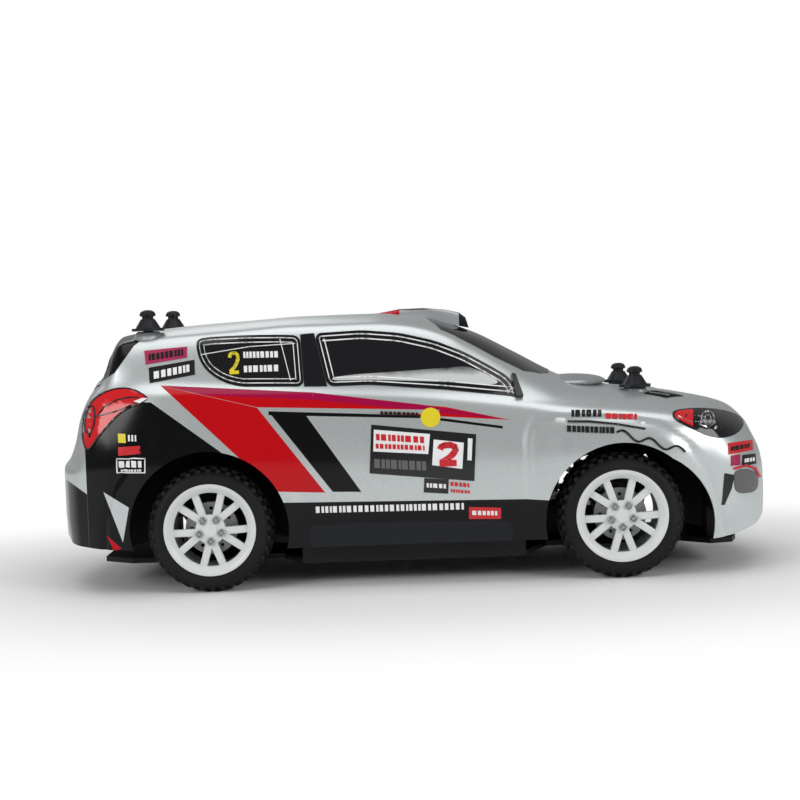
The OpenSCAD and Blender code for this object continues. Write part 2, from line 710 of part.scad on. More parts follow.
// Moulded rim: barrel, hub and pairs of spokes near the outer face.
module rim(x, s, bore) {
    color(white) translate([x, 0, wheel_r]) left_or_right(s) {
        difference() {
            rod_y(0, tyre_face_y - tyre_w + 0.6, tyre_face_y - 0.6, 0, rim_r - 0.7);
            rod_y(0, tyre_face_y - tyre_w, tyre_face_y, 0, rim_r - 2);
        }
        difference() {
            union() {
                rod_y(0, 48.2, 53, 0, 5.4);
                upright(50.6, 53.2) for (k = [0:spoke_pairs - 1]) rotate(-92 + k * 360 / spoke_pairs)
                    for (t = [-1, 1]) rotate(t * 4) translate([4, t * 1.4 - 0.95])
                        rotate(t * 6) square([rim_r - 5.6, 1.9]);
                difference() {
                    rod_y(0, 50.2, 53.4, 0, rim_r - 1.5);
                    rod_y(0, 50, 54, 0, rim_d * 0.4);
                }
            }
            rod_y(0, 40, 51, 0, bore);
        }
    }
}

module rim_front_left() {
    rim(axle_x, 1, stub_r + running);
}

module rim_front_right() {
    rim(axle_x, -1, stub_r + running);
}

module rim_rear_left() {
    rim(-axle_x, 1, shaft_r);
}

module rim_rear_right() {
    rim(-axle_x, -1, shaft_r);
}

// Grey disc seen between the spokes, seated on the rim's hub.
module disc(x, s, bore) {
    color([0.5, 0.5, 0.52]) translate([x, 0, wheel_r]) left_or_right(s) difference() {
        union() {
            rod_y(0, 46.2, 48.2, 0, 10);
            rod_y(0, 44, 46.2, 0, 5);
        }
        rod_y(0, 40, 52, 0, bore);
        for (k = [0:11]) rotate([0, 30 * k, 0]) rod_y(7.6, 45, 49, 0, 0.7);
    }
}

module disc_front_left() {
    disc(axle_x, 1, stub_r + running);
}

module disc_front_right() {
    disc(axle_x, -1, stub_r + running);
}

module disc_rear_left() {
    disc(-axle_x, 1, shaft_r);
}

module disc_rear_right() {
    disc(-axle_x, -1, shaft_r);
}

body_shell();
roof_scoop();
cap_front_left();
cap_front_right();
cap_rear_left();
cap_rear_right();
chassis_pan();
chassis_screws();
front_bulkhead();
front_shock_tower();
suspension_pins();
front_bumper();
front_posts();
rear_post_mount();
rear_posts();
gear_case();
gear_case_cover();
motor_can();
battery_pack();
battery_strap();
speed_control();
receiver();
switch_housing();
switch_lever();
steering_servo();
servo_horn();
steering_link();
lower_arm_left();
lower_arm_right();
upper_link_left();
upper_link_right();
c_hub_left();
c_hub_right();
knuckle_left();
knuckle_right();
damper_body_left();
damper_body_right();
damper_rod_left();
damper_rod_right();
spring_left();
spring_right();
motor_pinion();
lay_gear();
rear_axle();
axle_gear();
tyre_front_left();
tyre_front_right();
tyre_rear_left();
tyre_rear_right();
rim_front_left();
rim_front_right();
rim_rear_left();
rim_rear_right();
disc_front_left();
disc_front_right();
disc_rear_left();
disc_rear_right();
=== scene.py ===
import math

import bmesh
import bpy
import numpy as np
from mathutils import Matrix, Vector


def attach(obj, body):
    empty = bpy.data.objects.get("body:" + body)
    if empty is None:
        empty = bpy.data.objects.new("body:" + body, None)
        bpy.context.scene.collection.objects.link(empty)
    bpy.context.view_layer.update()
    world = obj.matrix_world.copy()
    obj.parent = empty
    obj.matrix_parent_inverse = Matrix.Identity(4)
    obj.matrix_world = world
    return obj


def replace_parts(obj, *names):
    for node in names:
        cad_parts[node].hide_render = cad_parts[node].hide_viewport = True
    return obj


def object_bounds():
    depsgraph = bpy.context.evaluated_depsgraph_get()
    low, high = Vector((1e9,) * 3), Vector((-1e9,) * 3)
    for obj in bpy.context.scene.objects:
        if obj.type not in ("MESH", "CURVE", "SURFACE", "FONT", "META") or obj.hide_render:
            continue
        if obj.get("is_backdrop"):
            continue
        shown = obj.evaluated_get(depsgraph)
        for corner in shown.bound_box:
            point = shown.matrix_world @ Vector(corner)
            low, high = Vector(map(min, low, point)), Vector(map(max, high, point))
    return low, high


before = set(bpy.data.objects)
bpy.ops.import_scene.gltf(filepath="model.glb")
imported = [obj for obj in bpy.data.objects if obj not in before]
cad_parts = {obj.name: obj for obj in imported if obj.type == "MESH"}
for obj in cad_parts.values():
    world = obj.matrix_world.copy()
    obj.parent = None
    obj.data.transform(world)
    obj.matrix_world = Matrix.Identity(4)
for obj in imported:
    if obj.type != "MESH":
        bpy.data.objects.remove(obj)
cad_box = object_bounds()

# Camera: level with the roof, square to the car's right side, a little over
# half a metre away, turned two degrees so that the nose sits higher.
MM = 0.001
EYE = Vector((-4.5, -616, 101.5)) * MM
AIM = Vector((-4.5, -56, 70.8)) * MM
ROLL = math.radians(-2.0)
camera_data = bpy.data.cameras.new("camera")
camera_data.lens = 67.3
camera_data.sensor_width = 36
camera = bpy.data.objects.new("camera", camera_data)
bpy.context.scene.collection.objects.link(camera)
aimed = (AIM - EYE).to_track_quat("-Z", "Y").to_matrix()
camera.rotation_euler = (aimed @ Matrix.Rotation(ROLL, 3, "Z")).to_euler()
camera.location = EYE
bpy.context.scene.camera = camera


# Chassis parts: black and dark grey moulded nylon, bare steel pins, links
# and screws, a shrink-wrapped battery and a black motor can. Each CAD node
# keeps its shape and takes a worn, finely textured finish.
def new_material(name):
    material = bpy.data.materials.new(name)
    material.use_nodes = True
    tree = material.node_tree
    return material, tree.nodes, tree.links, tree.nodes["Principled BSDF"]


def object_place(nodes):
    return nodes.new("ShaderNodeTexCoord").outputs["Object"]


def cloudy(nodes, links, place, scale, detail=2):
    """Soft noise between 0 and 1 over the piece."""
    noise = nodes.new("ShaderNodeTexNoise")
    noise.inputs["Scale"].default_value = scale
    noise.inputs["Detail"].default_value = detail
    links.new(place, noise.inputs["Vector"])
    return noise.outputs["Fac"]


def spread(nodes, links, value, low, high, start=0.0, end=1.0):
    """Carries low..high of a value over to start..end, held at both ends."""
    reach = nodes.new("ShaderNodeMapRange")
    for socket, number in (("From Min", low), ("From Max", high), ("To Min", start), ("To Max", end)):
        reach.inputs[socket].default_value = number
    links.new(value, reach.inputs["Value"])
    return reach.outputs["Result"]


def blend_tones(nodes, links, share, under, over):
    """One colour over another; under may be a plain tone or a socket."""
    layer = nodes.new("ShaderNodeMix")
    layer.data_type = "RGBA"
    links.new(share, layer.inputs["Factor"])
    if isinstance(under, tuple):
        layer.inputs["A"].default_value = (*under, 1)
    else:
        links.new(under, layer.inputs["A"])
    layer.inputs["B"].default_value = (*over, 1)
    return layer.outputs["Result"]


def relief(nodes, links, shader, height, strength, depth):
    bump = nodes.new("ShaderNodeBump")
    bump.inputs["Strength"].default_value = strength
    bump.inputs["Distance"].default_value = depth * MM
    links.new(height, bump.inputs["Height"])
    links.new(bump.outputs["Normal"], shader.inputs["Normal"])


def surface(name, colour, rough, metal=0.0, grain=900.0, bump=0.15, mottle=0.12, wear=None, shine=0.5):
    """A finish with grain in its bump, uneven roughness and an optional worn tint."""
    material, nodes, links, shader = new_material(name)
    place = object_place(nodes)
    fine = cloudy(nodes, links, place, grain, 4)
    broad = cloudy(nodes, links, place, grain / 14, 6)
    worn = wear if wear else tuple(min(1.0, c * (1 + mottle) + 0.004) for c in colour)
    tint = blend_tones(nodes, links, spread(nodes, links, broad, 0.45, 0.75), colour, worn)
    links.new(tint, shader.inputs["Base Color"])
    gloss = spread(nodes, links, broad, 0, 1, max(0.03, rough - 0.08), min(1.0, rough + 0.08))
    links.new(gloss, shader.inputs["Roughness"])
    relief(nodes, links, shader, fine, bump, 0.1)
    shader.inputs["Metallic"].default_value = metal
    shader.inputs["Specular IOR Level"].default_value = shine
    return material


nylon_black = surface("nylon_black", (0.01, 0.01, 0.011), 0.5, shine=0.25)
nylon_grey = surface("nylon_grey", (0.03, 0.03, 0.033), 0.48, shine=0.3)
motor_black = surface("motor_black", (0.012, 0.012, 0.014), 0.4, metal=0.4, shine=0.3)
bright_steel = surface("bright_steel", (0.58, 0.58, 0.6), 0.28, metal=1.0, grain=2200, bump=0.08)
foam_black = surface("foam_black", (0.018, 0.018, 0.018), 0.95, grain=1500, bump=0.8)
wrap_blue = surface("wrap_blue", (0.02, 0.07, 0.3), 0.25, grain=300, bump=0.12)
gear_nylon = surface("gear_nylon", (0.04, 0.04, 0.042), 0.38)
horn_white = surface("horn_white", (0.8, 0.8, 0.78), 0.4)
cap_rubber = surface("cap_rubber", (0.006, 0.007, 0.01), 0.36, grain=1200, bump=0.15, shine=0.35)
FINISHES = {
    nylon_black: ["chassis_pan", "front_posts", "rear_posts", "battery_strap", "knuckle_left",
                  "knuckle_right", "speed_control", "receiver", "switch_housing", "steering_servo"],
    nylon_grey: ["front_bulkhead", "front_shock_tower", "rear_post_mount", "gear_case", "gear_case_cover",
                 "lower_arm_left", "lower_arm_right", "c_hub_left", "c_hub_right",
                 "damper_body_left", "damper_body_right"],
    motor_black: ["motor_can"],
    bright_steel: ["chassis_screws", "suspension_pins", "upper_link_left", "upper_link_right",
                   "steering_link", "damper_rod_left", "damper_rod_right", "spring_left", "spring_right",
                   "motor_pinion", "rear_axle", "switch_lever"],
    foam_black: ["front_bumper"],
    wrap_blue: ["battery_pack"],
    gear_nylon: ["lay_gear", "axle_gear"],
    horn_white: ["servo_horn"],
    cap_rubber: ["cap_front_left", "cap_front_right", "cap_rear_left", "cap_rear_right"],
}


def finish_node(name, finish):
    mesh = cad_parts[name].data
    mesh.materials.clear()
    mesh.materials.append(finish)


for finish, names in FINISHES.items():
    for name in names:
        finish_node(name, finish)


# Tyres: soft black rubber on each rim, with a stepped sidewall, a bead ring
# and rows of small square tread blocks round both edges and the middle.
def new_piece(name, bm, material, body, smooth=35):
    """Finishes a bmesh in metres into a named piece riding on a body."""
    bmesh.ops.remove_doubles(bm, verts=bm.verts, dist=1e-7)
    bmesh.ops.recalc_face_normals(bm, faces=bm.faces)
    mesh = bpy.data.meshes.new(name)
    bm.to_mesh(mesh)
    bm.free()
    piece = bpy.data.objects.new(name, mesh)
    bpy.context.scene.collection.objects.link(piece)
    mesh.materials.append(material)
    for polygon in mesh.polygons:
        polygon.use_smooth = True
    mesh.set_sharp_from_angle(angle=math.radians(smooth))
    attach(piece, body)
    return piece


def spun(bm, outline, steps):
    """Spins a closed outline of (radius, y) in millimetres round the Y axis."""
    verts = [bm.verts.new((r * MM, y * MM, 0)) for r, y in outline]
    edges = [bm.edges.new((verts[i], verts[(i + 1) % len(verts)])) for i in range(len(verts))]
    bmesh.ops.spin(bm, geom=verts + edges, cent=(0, 0, 0), axis=(0, 1, 0), angle=math.tau, steps=steps,
                   use_merge=True)


def turned(bm, verts, angle, axis):
    bmesh.ops.rotate(bm, cent=(0, 0, 0), matrix=Matrix.Rotation(angle, 3, axis), verts=verts)


def eased(bm, edges, radius, segments):
    """Rounds edges to a radius in millimetres."""
    bmesh.ops.bevel(bm, geom=list(edges), offset=radius * MM, segments=segments, profile=0.5, affect="EDGES",
                    material=-1)


def block(bm, size, middle, turn, bevel):
    """A box in millimetres with chamfered edges, placed by its middle and turned about the Y axis."""
    made = bmesh.ops.create_cube(bm, size=1)["verts"]
    bmesh.ops.scale(bm, vec=[s * MM for s in size], verts=made)
    bmesh.ops.translate(bm, vec=[m * MM for m in middle], verts=made)
    turned(bm, made, turn, "Y")
    eased(bm, {e for v in made for e in v.link_edges}, bevel, 1)


CORNERS = {"front_left": (78, 1, "wheel_fl"), "front_right": (78, -1, "wheel_fr"),
           "rear_left": (-78, 1, "rear_wheels"), "rear_right": (-78, -1, "rear_wheels")}
WHEEL_R = 24
WHEEL_Y = 44
TREAD_ROWS = (-9.0, -5.8, -2.9, 0, 2.9, 5.8, 9.0)
TREAD_R = 22.7
TREAD_BLOCKS = 36
SIDEWALL = [(16.8, -10.4), (17.4, -10.95), (18.0, -10.7), (18.8, -10.95), (19.8, -10.9), (20.8, -10.6),
            (21.5, -10.1), (22.0, -9.4), (22.4, -8.6), (TREAD_R, -7.6)]
tyre_rubber = surface("tyre_rubber", (0.008, 0.008, 0.009), 0.6, grain=1400, bump=0.2,
                      wear=(0.014, 0.014, 0.014), shine=0.22)


def wheel_place(bm, corner):
    """Turns a wheel made about the origin, outer face +Y, to its corner of the car."""
    x, side, _ = CORNERS[corner]
    if side < 0:
        turned(bm, bm.verts, math.pi, "Z")
    bmesh.ops.translate(bm, vec=(x * MM, side * WHEEL_Y * MM, WHEEL_R * MM), verts=bm.verts)


for corner, (x, side, body) in CORNERS.items():
    bm = bmesh.new()
    spun(bm, SIDEWALL + [(r, -y) for r, y in reversed(SIDEWALL)], 96)
    for k in range(TREAD_BLOCKS):
        for row, y in enumerate(TREAD_ROWS):
            turn = math.tau * (k + 0.5 * (row % 2)) / TREAD_BLOCKS
            if row in (0, len(TREAD_ROWS) - 1):
                block(bm, (1.9, 1.9, 1.6), (0, y, 22.3), turn, 0.2)
            else:
                block(bm, (2.5, 2.2, 1.6), (0, y, WHEEL_R - 0.83), turn, 0.18)
    wheel_place(bm, corner)
    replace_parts(new_piece("tread_tyre_" + corner, bm, tyre_rubber, body), "tyre_" + corner)


# Rims: one white plastic moulding each, with a deep lip, ten spokes in five
# forked pairs, a flat five-sided centre and five ringed wheel-nut bosses.
def add_part(whole, bm):
    """Adds a finished part to the piece it belongs to."""
    part = bpy.data.meshes.new("part")
    bm.to_mesh(part)
    bm.free()
    whole.from_mesh(part)
    bpy.data.meshes.remove(part)


RIM_LIP = [(16.7, 10.4), (17.5, 10.9), (17.4, 11.2), (16.6, 11.2), (15.7, 10.6), (14.4, 9.2), (14.0, 8.6),
           (14.0, 8.0), (15.0, 7.4), (15.0, -10.4), (16.7, -10.4)]
SPOKE_FORKS = 5
FORK_DOWN = -92
FORK_LEAN = math.radians(18.9)
SPOKE_LENGTH = 12.4
SPOKE_WIDTH = 2.8
SPOKE_ROOT = 2.9
SPOKE_FACE = 8.6
SPOKE_BACK = 6.2
HUB_SWELL = 0.7
HUB_FACE = 9.7
NUT_CIRCLE = 4.4
HUB = [(0.01, 9.9), (3.1, 9.9), (4.6, 9.6), (5.6, 9.0), (5.8, 8.0), (5.4, 4.2), (0.01, 4.2)]
NUT_RINGS = [[(1.0, HUB_FACE), (1.0, 10.35), (1.25, 10.5), (1.5, 10.35), (1.6, HUB_FACE)],
             [(0.01, HUB_FACE), (0.01, 10.7), (0.6, 10.7), (0.75, 10.5), (0.75, HUB_FACE)]]
rim_white = surface("rim_white", (0.74, 0.76, 0.76), 0.3, grain=500, bump=0.05, wear=(0.7, 0.72, 0.72))
nut_grey = surface("nut_grey", (0.34, 0.35, 0.36), 0.35, metal=0.3, grain=900)
disc_grey = surface("disc_grey", (0.36, 0.36, 0.37), 0.5, metal=0.3, grain=1600, bump=0.5)
for corner, (x, side, body) in CORNERS.items():
    bm = bmesh.new()
    spun(bm, RIM_LIP, 96)
    spun(bm, HUB, 60)
    for k in range(SPOKE_FORKS):
        middle = math.radians(FORK_DOWN + 360 / SPOKE_FORKS * k)
        for tilt in (-1, 1):
            made = bmesh.ops.create_cube(bm, size=1)["verts"]
            for v in made:
                v.co.x = (SPOKE_LENGTH if v.co.x > 0 else 0.4) * MM
                v.co.y = (SPOKE_FACE if v.co.y > 0 else SPOKE_BACK) * MM
                v.co.y += HUB_SWELL * MM if v.co.x < MM else 0
                v.co.z *= SPOKE_WIDTH * MM
            turned(bm, made, -tilt * FORK_LEAN, "Y")
            bmesh.ops.translate(bm, vec=(SPOKE_ROOT * MM, 0, 0), verts=made)
            turned(bm, made, -middle, "Y")
            eased(bm, {e for v in made for e in v.link_edges}, 0.45, 3)
    made = bmesh.ops.create_cone(bm, cap_ends=True, segments=5, radius1=3.3 * MM, radius2=3.0 * MM,
                                 depth=1.0 * MM)["verts"]
    turned(bm, made, -math.pi / 2, "X")
    turned(bm, made, math.radians(-FORK_DOWN - 180 / SPOKE_FORKS), "Y")
    bmesh.ops.translate(bm, vec=(0, HUB_FACE * MM, 0), verts=made)
    wheel_place(bm, corner)
    rim = new_piece("forked_rim_" + corner, bm, rim_white, body, smooth=40)
    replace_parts(rim, "rim_" + corner)
    bm = bmesh.new()
    for k in range(SPOKE_FORKS):
        middle = math.radians(FORK_DOWN + 360 / SPOKE_FORKS * k)
        out = Vector((math.cos(middle), 0, math.sin(middle))) * NUT_CIRCLE * MM
        for ring in NUT_RINGS:
            nut = bmesh.new()
            spun(nut, ring, 18)
            bmesh.ops.translate(nut, vec=out, verts=nut.verts)
            add_part(bm, nut)
    wheel_place(bm, corner)
    new_piece("wheel_nuts_" + corner, bm, nut_grey, body, smooth=40)
    finish_node("disc_" + corner, disc_grey)


# Body shell: one clear sheet formed over a mould, painted silver inside and
# printed with the red, black and crimson bands, then trimmed at the arches.
# Its lengthwise lines are x, half width and height in millimetres.
HEM = [(-141, 8, 21), (-139.5, 18.5, 20.6), (-136, 31.5, 20), (-132.5, 42, 19), (-128, 48, 18.5),
       (-115, 54, 17.5), (-78, 56.5, 16.5), (-45, 54.5, 16), (0, 54, 16), (44, 54.5, 16), (78, 56.5, 15),
       (112, 53.5, 14), (120, 51.5, 15), (130, 44.5, 17.5), (136, 32.5, 20), (139, 21, 21), (141, 8, 21.5)]
ROCKER = [(-141, 9, 32), (-139.5, 20, 31.5), (-136.2, 33.5, 31), (-133, 43, 31), (-128, 50, 31),
          (-115, 56.5, 31), (-95, 58.6, 31), (-60, 58.6, 31), (-45, 56.6, 31), (0, 56, 31), (45, 56.6, 31),
          (60, 58.4, 31), (95, 58.4, 31), (112, 56, 29), (120, 54, 29), (130, 46.5, 29), (136, 34, 29),
          (139, 22.5, 29), (141, 9, 29)]
WAIST = [(-141, 9, 44), (-139.5, 20, 44.5), (-136.2, 33.5, 45), (-133, 43, 45.5), (-128, 50, 46.5),
         (-115, 56.6, 48), (-95, 59, 49), (-60, 59, 49), (-45, 57, 47), (0, 56.5, 46), (45, 57, 46),
         (60, 59, 48), (95, 59, 48), (112, 55.7, 44), (120, 53.5, 42), (130, 46, 39), (136, 33, 38),
         (139, 22, 37), (141, 8.5, 36.5)]
SHOULDER = [(-141, 8, 46.6), (-139.5, 18.5, 47), (-136, 31, 47.6), (-132, 41, 49), (-128, 46, 51),
            (-125, 48.5, 60), (-122, 49.8, 67), (-115, 52, 71.5), (-95, 54.5, 74), (-60, 54.5, 73),
            (-40, 54, 71.5), (0, 53.5, 69), (45, 53.5, 65), (95, 54.5, 60.5), (112, 52.5, 57.5),
            (120, 49.5, 53.5), (130, 42, 48.5), (136, 29.5, 44), (139, 19, 42), (141, 7, 41)]
BELT = [(-141, 7, 47.4), (-139.5, 16, 47.8), (-136, 27, 48.6), (-132, 36.5, 50.5), (-128, 42.5, 54),
        (-125.6, 44.5, 68), (-122, 45.5, 75), (-115, 48, 78.5), (-105, 49.5, 80), (-60, 50.5, 78.5),
        (-40, 50.5, 77.5), (0, 50, 75), (37, 49.5, 70.5), (60, 48, 67.5), (95, 46.5, 64.5),
        (112, 44.5, 61.5), (120, 42, 58.5), (130, 36, 53), (136, 26, 46.5), (139, 16, 44.5), (141, 6, 43)]
RAIL = [(-141, 5, 47.6), (-139.5, 12, 48.5), (-136, 22, 50), (-132, 30, 53.5), (-128.8, 34.5, 60),
        (-126.8, 36.5, 69), (-122, 38, 77), (-117, 38.5, 83.5), (-114.6, 38.5, 91), (-111.5, 38.5, 95.4),
        (-98, 38.5, 97), (-72, 39, 98.4), (-44, 39, 99.8), (-15, 38.5, 99.7), (-3, 38, 98.8), (6, 38, 97),
        (15, 38.3, 93.6), (24, 39, 88.5), (38, 40, 80.5), (50, 39.5, 74.5), (60, 37.5, 71.5),
        (95, 35.5, 67.5), (112, 33.5, 64.8), (120, 31, 61.8), (130, 27, 57), (136, 20, 49.5),
        (139, 12, 46.5), (141, 4.5, 44.5)]
CROWN = [(-141, 2.5, 47.7), (-139, 7, 50), (-135.6, 12, 58), (-133.2, 16, 65), (-129, 19, 72.5),
         (-124.5, 21, 79), (-121, 21, 82.5), (-118.4, 21, 91), (-114.6, 21, 96.4), (-95, 22, 100),
         (-70, 22.5, 101.6), (-42, 22.5, 102.9), (-14, 22.5, 102.9), (5, 22.3, 100.6), (22, 22, 95),
         (40, 21.5, 85.5), (57, 20.5, 75.6), (66, 19.5, 72.4), (98, 18, 69), (112, 17, 66.4),
         (120, 16, 64.2), (130, 14.5, 59.5), (136, 12, 52.5), (139, 7, 48), (141, 2.5, 45)]
CENTRE = [(-141, 0, 47.7), (-138, 0, 53), (-136.3, 0, 60), (-134.6, 0, 68), (-128, 0, 78.6),
          (-123.3, 0, 83.3), (-119.7, 0, 94.6), (-116.2, 0, 97.9), (-91, 0, 101.1), (-63, 0, 102.6),
          (-42, 0, 103.6), (-14, 0, 103.7), (5, 0, 101.6), (24, 0, 95.7), (42, 0, 86.4), (58, 0, 77.6),
          (68, 0, 73.6), (98, 0, 69.4), (112, 0, 66.9), (127.7, 0, 62.7), (136, 0, 55.9), (139, 0, 50.8),
          (141, 0, 45.6)]
SHELL_LINES = [np.array(line, float) for line in (HEM, ROCKER, WAIST, SHOULDER, BELT, RAIL, CROWN, CENTRE)]
LAST_LINE = len(SHELL_LINES) - 1
SHELL_SQUEEZE = 0.991


def slopes(x, y):
    """Slope at each point of a curve that never overshoots its points."""
    d = np.diff(y, axis=0) / np.diff(x, axis=0)
    a, b = d[:-1], d[1:]
    same = a * b > 0
    middle = np.where(same, 2 * a * b / np.where(same, a + b, 1), 0)
    return np.concatenate([d[:1], middle, d[-1:]])


def curve(x0, x1, y0, y1, m0, m1, x):
    h = x1 - x0
    t = (x - x0) / h
    return (y0 * (2 * t ** 3 - 3 * t ** 2 + 1) + y1 * (3 * t ** 2 - 2 * t ** 3)
            + h * m0 * (t ** 3 - 2 * t ** 2 + t) + h * m1 * (t ** 3 - t ** 2))


def line_at(line, x, column):
    i = np.clip(np.searchsorted(line[:, 0], x, side="right") - 1, 0, len(line) - 2)
    m = slopes(line[:, 0], line[:, column])
    return curve(line[i, 0], line[i + 1, 0], line[i, column], line[i + 1, column], m[i], m[i + 1], x)


def shell_at(x, s):
    """Half width and height of the shell at x, for s from 0 at the hem to 7 at the centre."""
    x, s = np.broadcast_arrays(np.asarray(x, float), np.asarray(s, float))
    i = np.clip(np.floor(s).astype(int), 0, LAST_LINE - 1)
    result = []
    for column in (1, 2):
        p = np.stack([line_at(line, x, column) for line in SHELL_LINES])
        m = slopes(np.arange(LAST_LINE + 1.0).reshape((-1,) + (1,) * x.ndim), p)
        if column == 2:
            m[-1] = 0
        ends = [np.take_along_axis(a, k[None], 0)[0] for a in (p, m) for k in (i, i + 1)]
        result.append(curve(i, i + 1, *ends, s))
    return result[0] * SHELL_SQUEEZE, result[1]


# Side drawing: the prints are laid out on an upright plane beside the doors,
# as they line up from one point well off to the side, level with the roof.
EYE_BACK = 560.0
SIDE_PLANE = -56.0
EYE_X = -4.5
EYE_Z = 101.5


def side_half_width(u, w):
    """Half width of the shell at side-drawing position (u, w)."""
    half = np.full(u.shape, 55.0)
    for _ in range(8):
        r = EYE_BACK / (EYE_BACK - SIDE_PLANE - half)
        x = np.clip(EYE_X + (u - EYE_X) / r, -140.9, 140.9)
        z = EYE_Z + (w - EYE_Z) / r
        low, high = np.zeros(u.shape), np.full(u.shape, float(LAST_LINE))
        for _ in range(16):
            middle = (low + high) / 2
            above = shell_at(x, middle)[1] > z
            high = np.where(above, middle, high)
            low = np.where(above, low, middle)
        half = 0.4 * half + 0.6 * shell_at(x, (low + high) / 2)[0]
    return half


TABLE_U = np.arange(-142, 143, 1.0)
TABLE_W = np.arange(12, 108, 1.0)
HALF_TABLE = side_half_width(*np.meshgrid(TABLE_U, TABLE_W, indexing="ij"))


def side_point(u, w):
    """Point on the right side of the shell at side-drawing position (u, w)."""
    i = np.clip(np.floor(u - TABLE_U[0]).astype(int), 0, len(TABLE_U) - 2)
    k = np.clip(np.floor(w - TABLE_W[0]).astype(int), 0, len(TABLE_W) - 2)
    a, b = u - TABLE_U[i], w - TABLE_W[k]
    half = ((1 - a) * (1 - b) * HALF_TABLE[i, k] + a * (1 - b) * HALF_TABLE[i + 1, k]
            + (1 - a) * b * HALF_TABLE[i, k + 1] + a * b * HALF_TABLE[i + 1, k + 1])
    r = EYE_BACK / (EYE_BACK - SIDE_PLANE - half)
    return np.stack([EYE_X + (u - EYE_X) / r, -half, EYE_Z + (w - EYE_Z) / r], -1)


PRINT_EDGE = 0.06


def simple_math(nodes, links, operation, a, b, c=None):
    node = nodes.new("ShaderNodeMath")
    node.operation = operation
    for socket, value in zip(node.inputs, (a, b, c)):
        if value is None:
            continue
        if isinstance(value, (int, float)):
            socket.default_value = value
        else:
            links.new(value, socket)
    return node.outputs[0]


def drawn_mask(nodes, links, u, w, corners):
    """1 inside a convex outline of side-drawing points in millimetres, with crisp edges."""
    least = None
    area = sum(a[0] * b[1] - b[0] * a[1] for a, b in zip(corners, corners[1:] + corners[:1]))
    turn = 1 if area > 0 else -1
    for (u0, w0), (u1, w1) in zip(corners, corners[1:] + corners[:1]):
        length = math.hypot(u1 - u0, w1 - w0)
        nu, nw = -(w1 - w0) / length * turn, (u1 - u0) / length * turn
        part = simple_math(nodes, links, "MULTIPLY_ADD", u, nu, -(nu * u0 + nw * w0))
        inside = simple_math(nodes, links, "MULTIPLY_ADD", w, nw, part)
        least = inside if least is None else simple_math(nodes, links, "MINIMUM", least, inside)
    return spread(nodes, links, least, -PRINT_EDGE, PRINT_EDGE)


def side_drawing(nodes, links):
    """Object position flattened to the side drawing, in millimetres, for both sides alike."""
    place = object_place(nodes)
    split = nodes.new("ShaderNodeSeparateXYZ")
    links.new(place, split.inputs["Vector"])
    across = simple_math(nodes, links, "ABSOLUTE", split.outputs["Y"], 0)
    away = simple_math(nodes, links, "MULTIPLY_ADD", across, -1000, EYE_BACK - SIDE_PLANE)
    shrink = simple_math(nodes, links, "DIVIDE", EYE_BACK, away)
    x = simple_math(nodes, links, "MULTIPLY_ADD", split.outputs["X"], 1000, -EYE_X)
    z = simple_math(nodes, links, "MULTIPLY_ADD", split.outputs["Z"], 1000, -EYE_Z)
    u = simple_math(nodes, links, "MULTIPLY_ADD", x, shrink, EYE_X)
    w = simple_math(nodes, links, "MULTIPLY_ADD", z, shrink, EYE_Z)
    return place, u, w


SILVER = (0.64, 0.68, 0.68)
RED = (0.52, 0.0, 0.004)
CRIMSON = (0.36, 0.0, 0.05)
GLOSS_BLACK = (0.001, 0.001, 0.002)
SILL_PAINTED_REFLECTION = (0.006, 0.0075, 0.011)
LIVERY = [
    (GLOSS_BLACK, [(-123.4, 60), (-112, 73.5), (-98, 73.2), (-71.8, 53), (-66, 46), (-66, 8), (-123.4, 8)]),
    (GLOSS_BLACK, [(-150, 50), (-131, 45.4), (-123.4, 39.4), (-123.4, 8), (-150, 8)]),
    (GLOSS_BLACK, [(-52.9, 37.8), (-20, 36.7), (3, 35.4), (42, 31.8), (52, 31.6), (52, 8), (-52.9, 8)]),
    # Grey-blue band low on the sill, lighter than the gloss black: painted reflection of the floor.
    (SILL_PAINTED_REFLECTION, [(-40, 24.5), (-20, 25), (30, 24), (36, 23), (36, 8), (-40, 8)]),
    (RED, [(-93.8, 79.3), (-15.5, 71), (12.6, 67.6), (36.5, 61.9), (-58.2, 69.9)]),
    (RED, [(-94, 79.3), (-58.2, 69.8), (-33.8, 36.9), (-52.6, 37.9)]),
    (CRIMSON, [(-93.9, 79.4), (-37.1, 74.8), (-37.1, 72), (-78.5, 75.3), (-89, 78)]),
    (CRIMSON, [(-37.1, 74.8), (3, 68.9), (36.5, 62), (-37.1, 72)]),
    (SILVER, [(-58.2, 69.9), (10, 66.6), (10, 65), (-57, 68.6)]),
    (GLOSS_BLACK, [(-54, 68.2), (-40.6, 67.2), (-20.2, 36.7), (-31, 37.1)]),
    (GLOSS_BLACK, [(-54, 68.3), (3, 64.8), (3, 63.7), (-54, 66.8)]),
    (GLOSS_BLACK, [(3, 64.8), (33.7, 59.7), (33.7, 58.7), (3, 63.7)]),
    (SILVER, [(-117.2, 40), (-107.9, 33.8), (-110.7, 20.7)]),
    (RED, [(-116.6, 23.5), (-111.3, 18.4), (-114.3, 17.6)]),
    (GLOSS_BLACK, [(-99.7, 99.2), (-106.3, 90.6), (-110.9, 84.7), (-118.8, 79.9), (-126, 78), (-130, 99.5)]),
    (GLOSS_BLACK, [(-98, 98.4), (-102.8, 94.8), (-108, 93), (-110, 99)]),
]
paint, nodes, links, shader = new_material("printed_shell_paint")
place, u, w = side_drawing(nodes, links)
flake = cloudy(nodes, links, place, 2600)
colour = blend_tones(nodes, links, flake, (0.50, 0.54, 0.54), (0.80, 0.84, 0.84))
bare = None
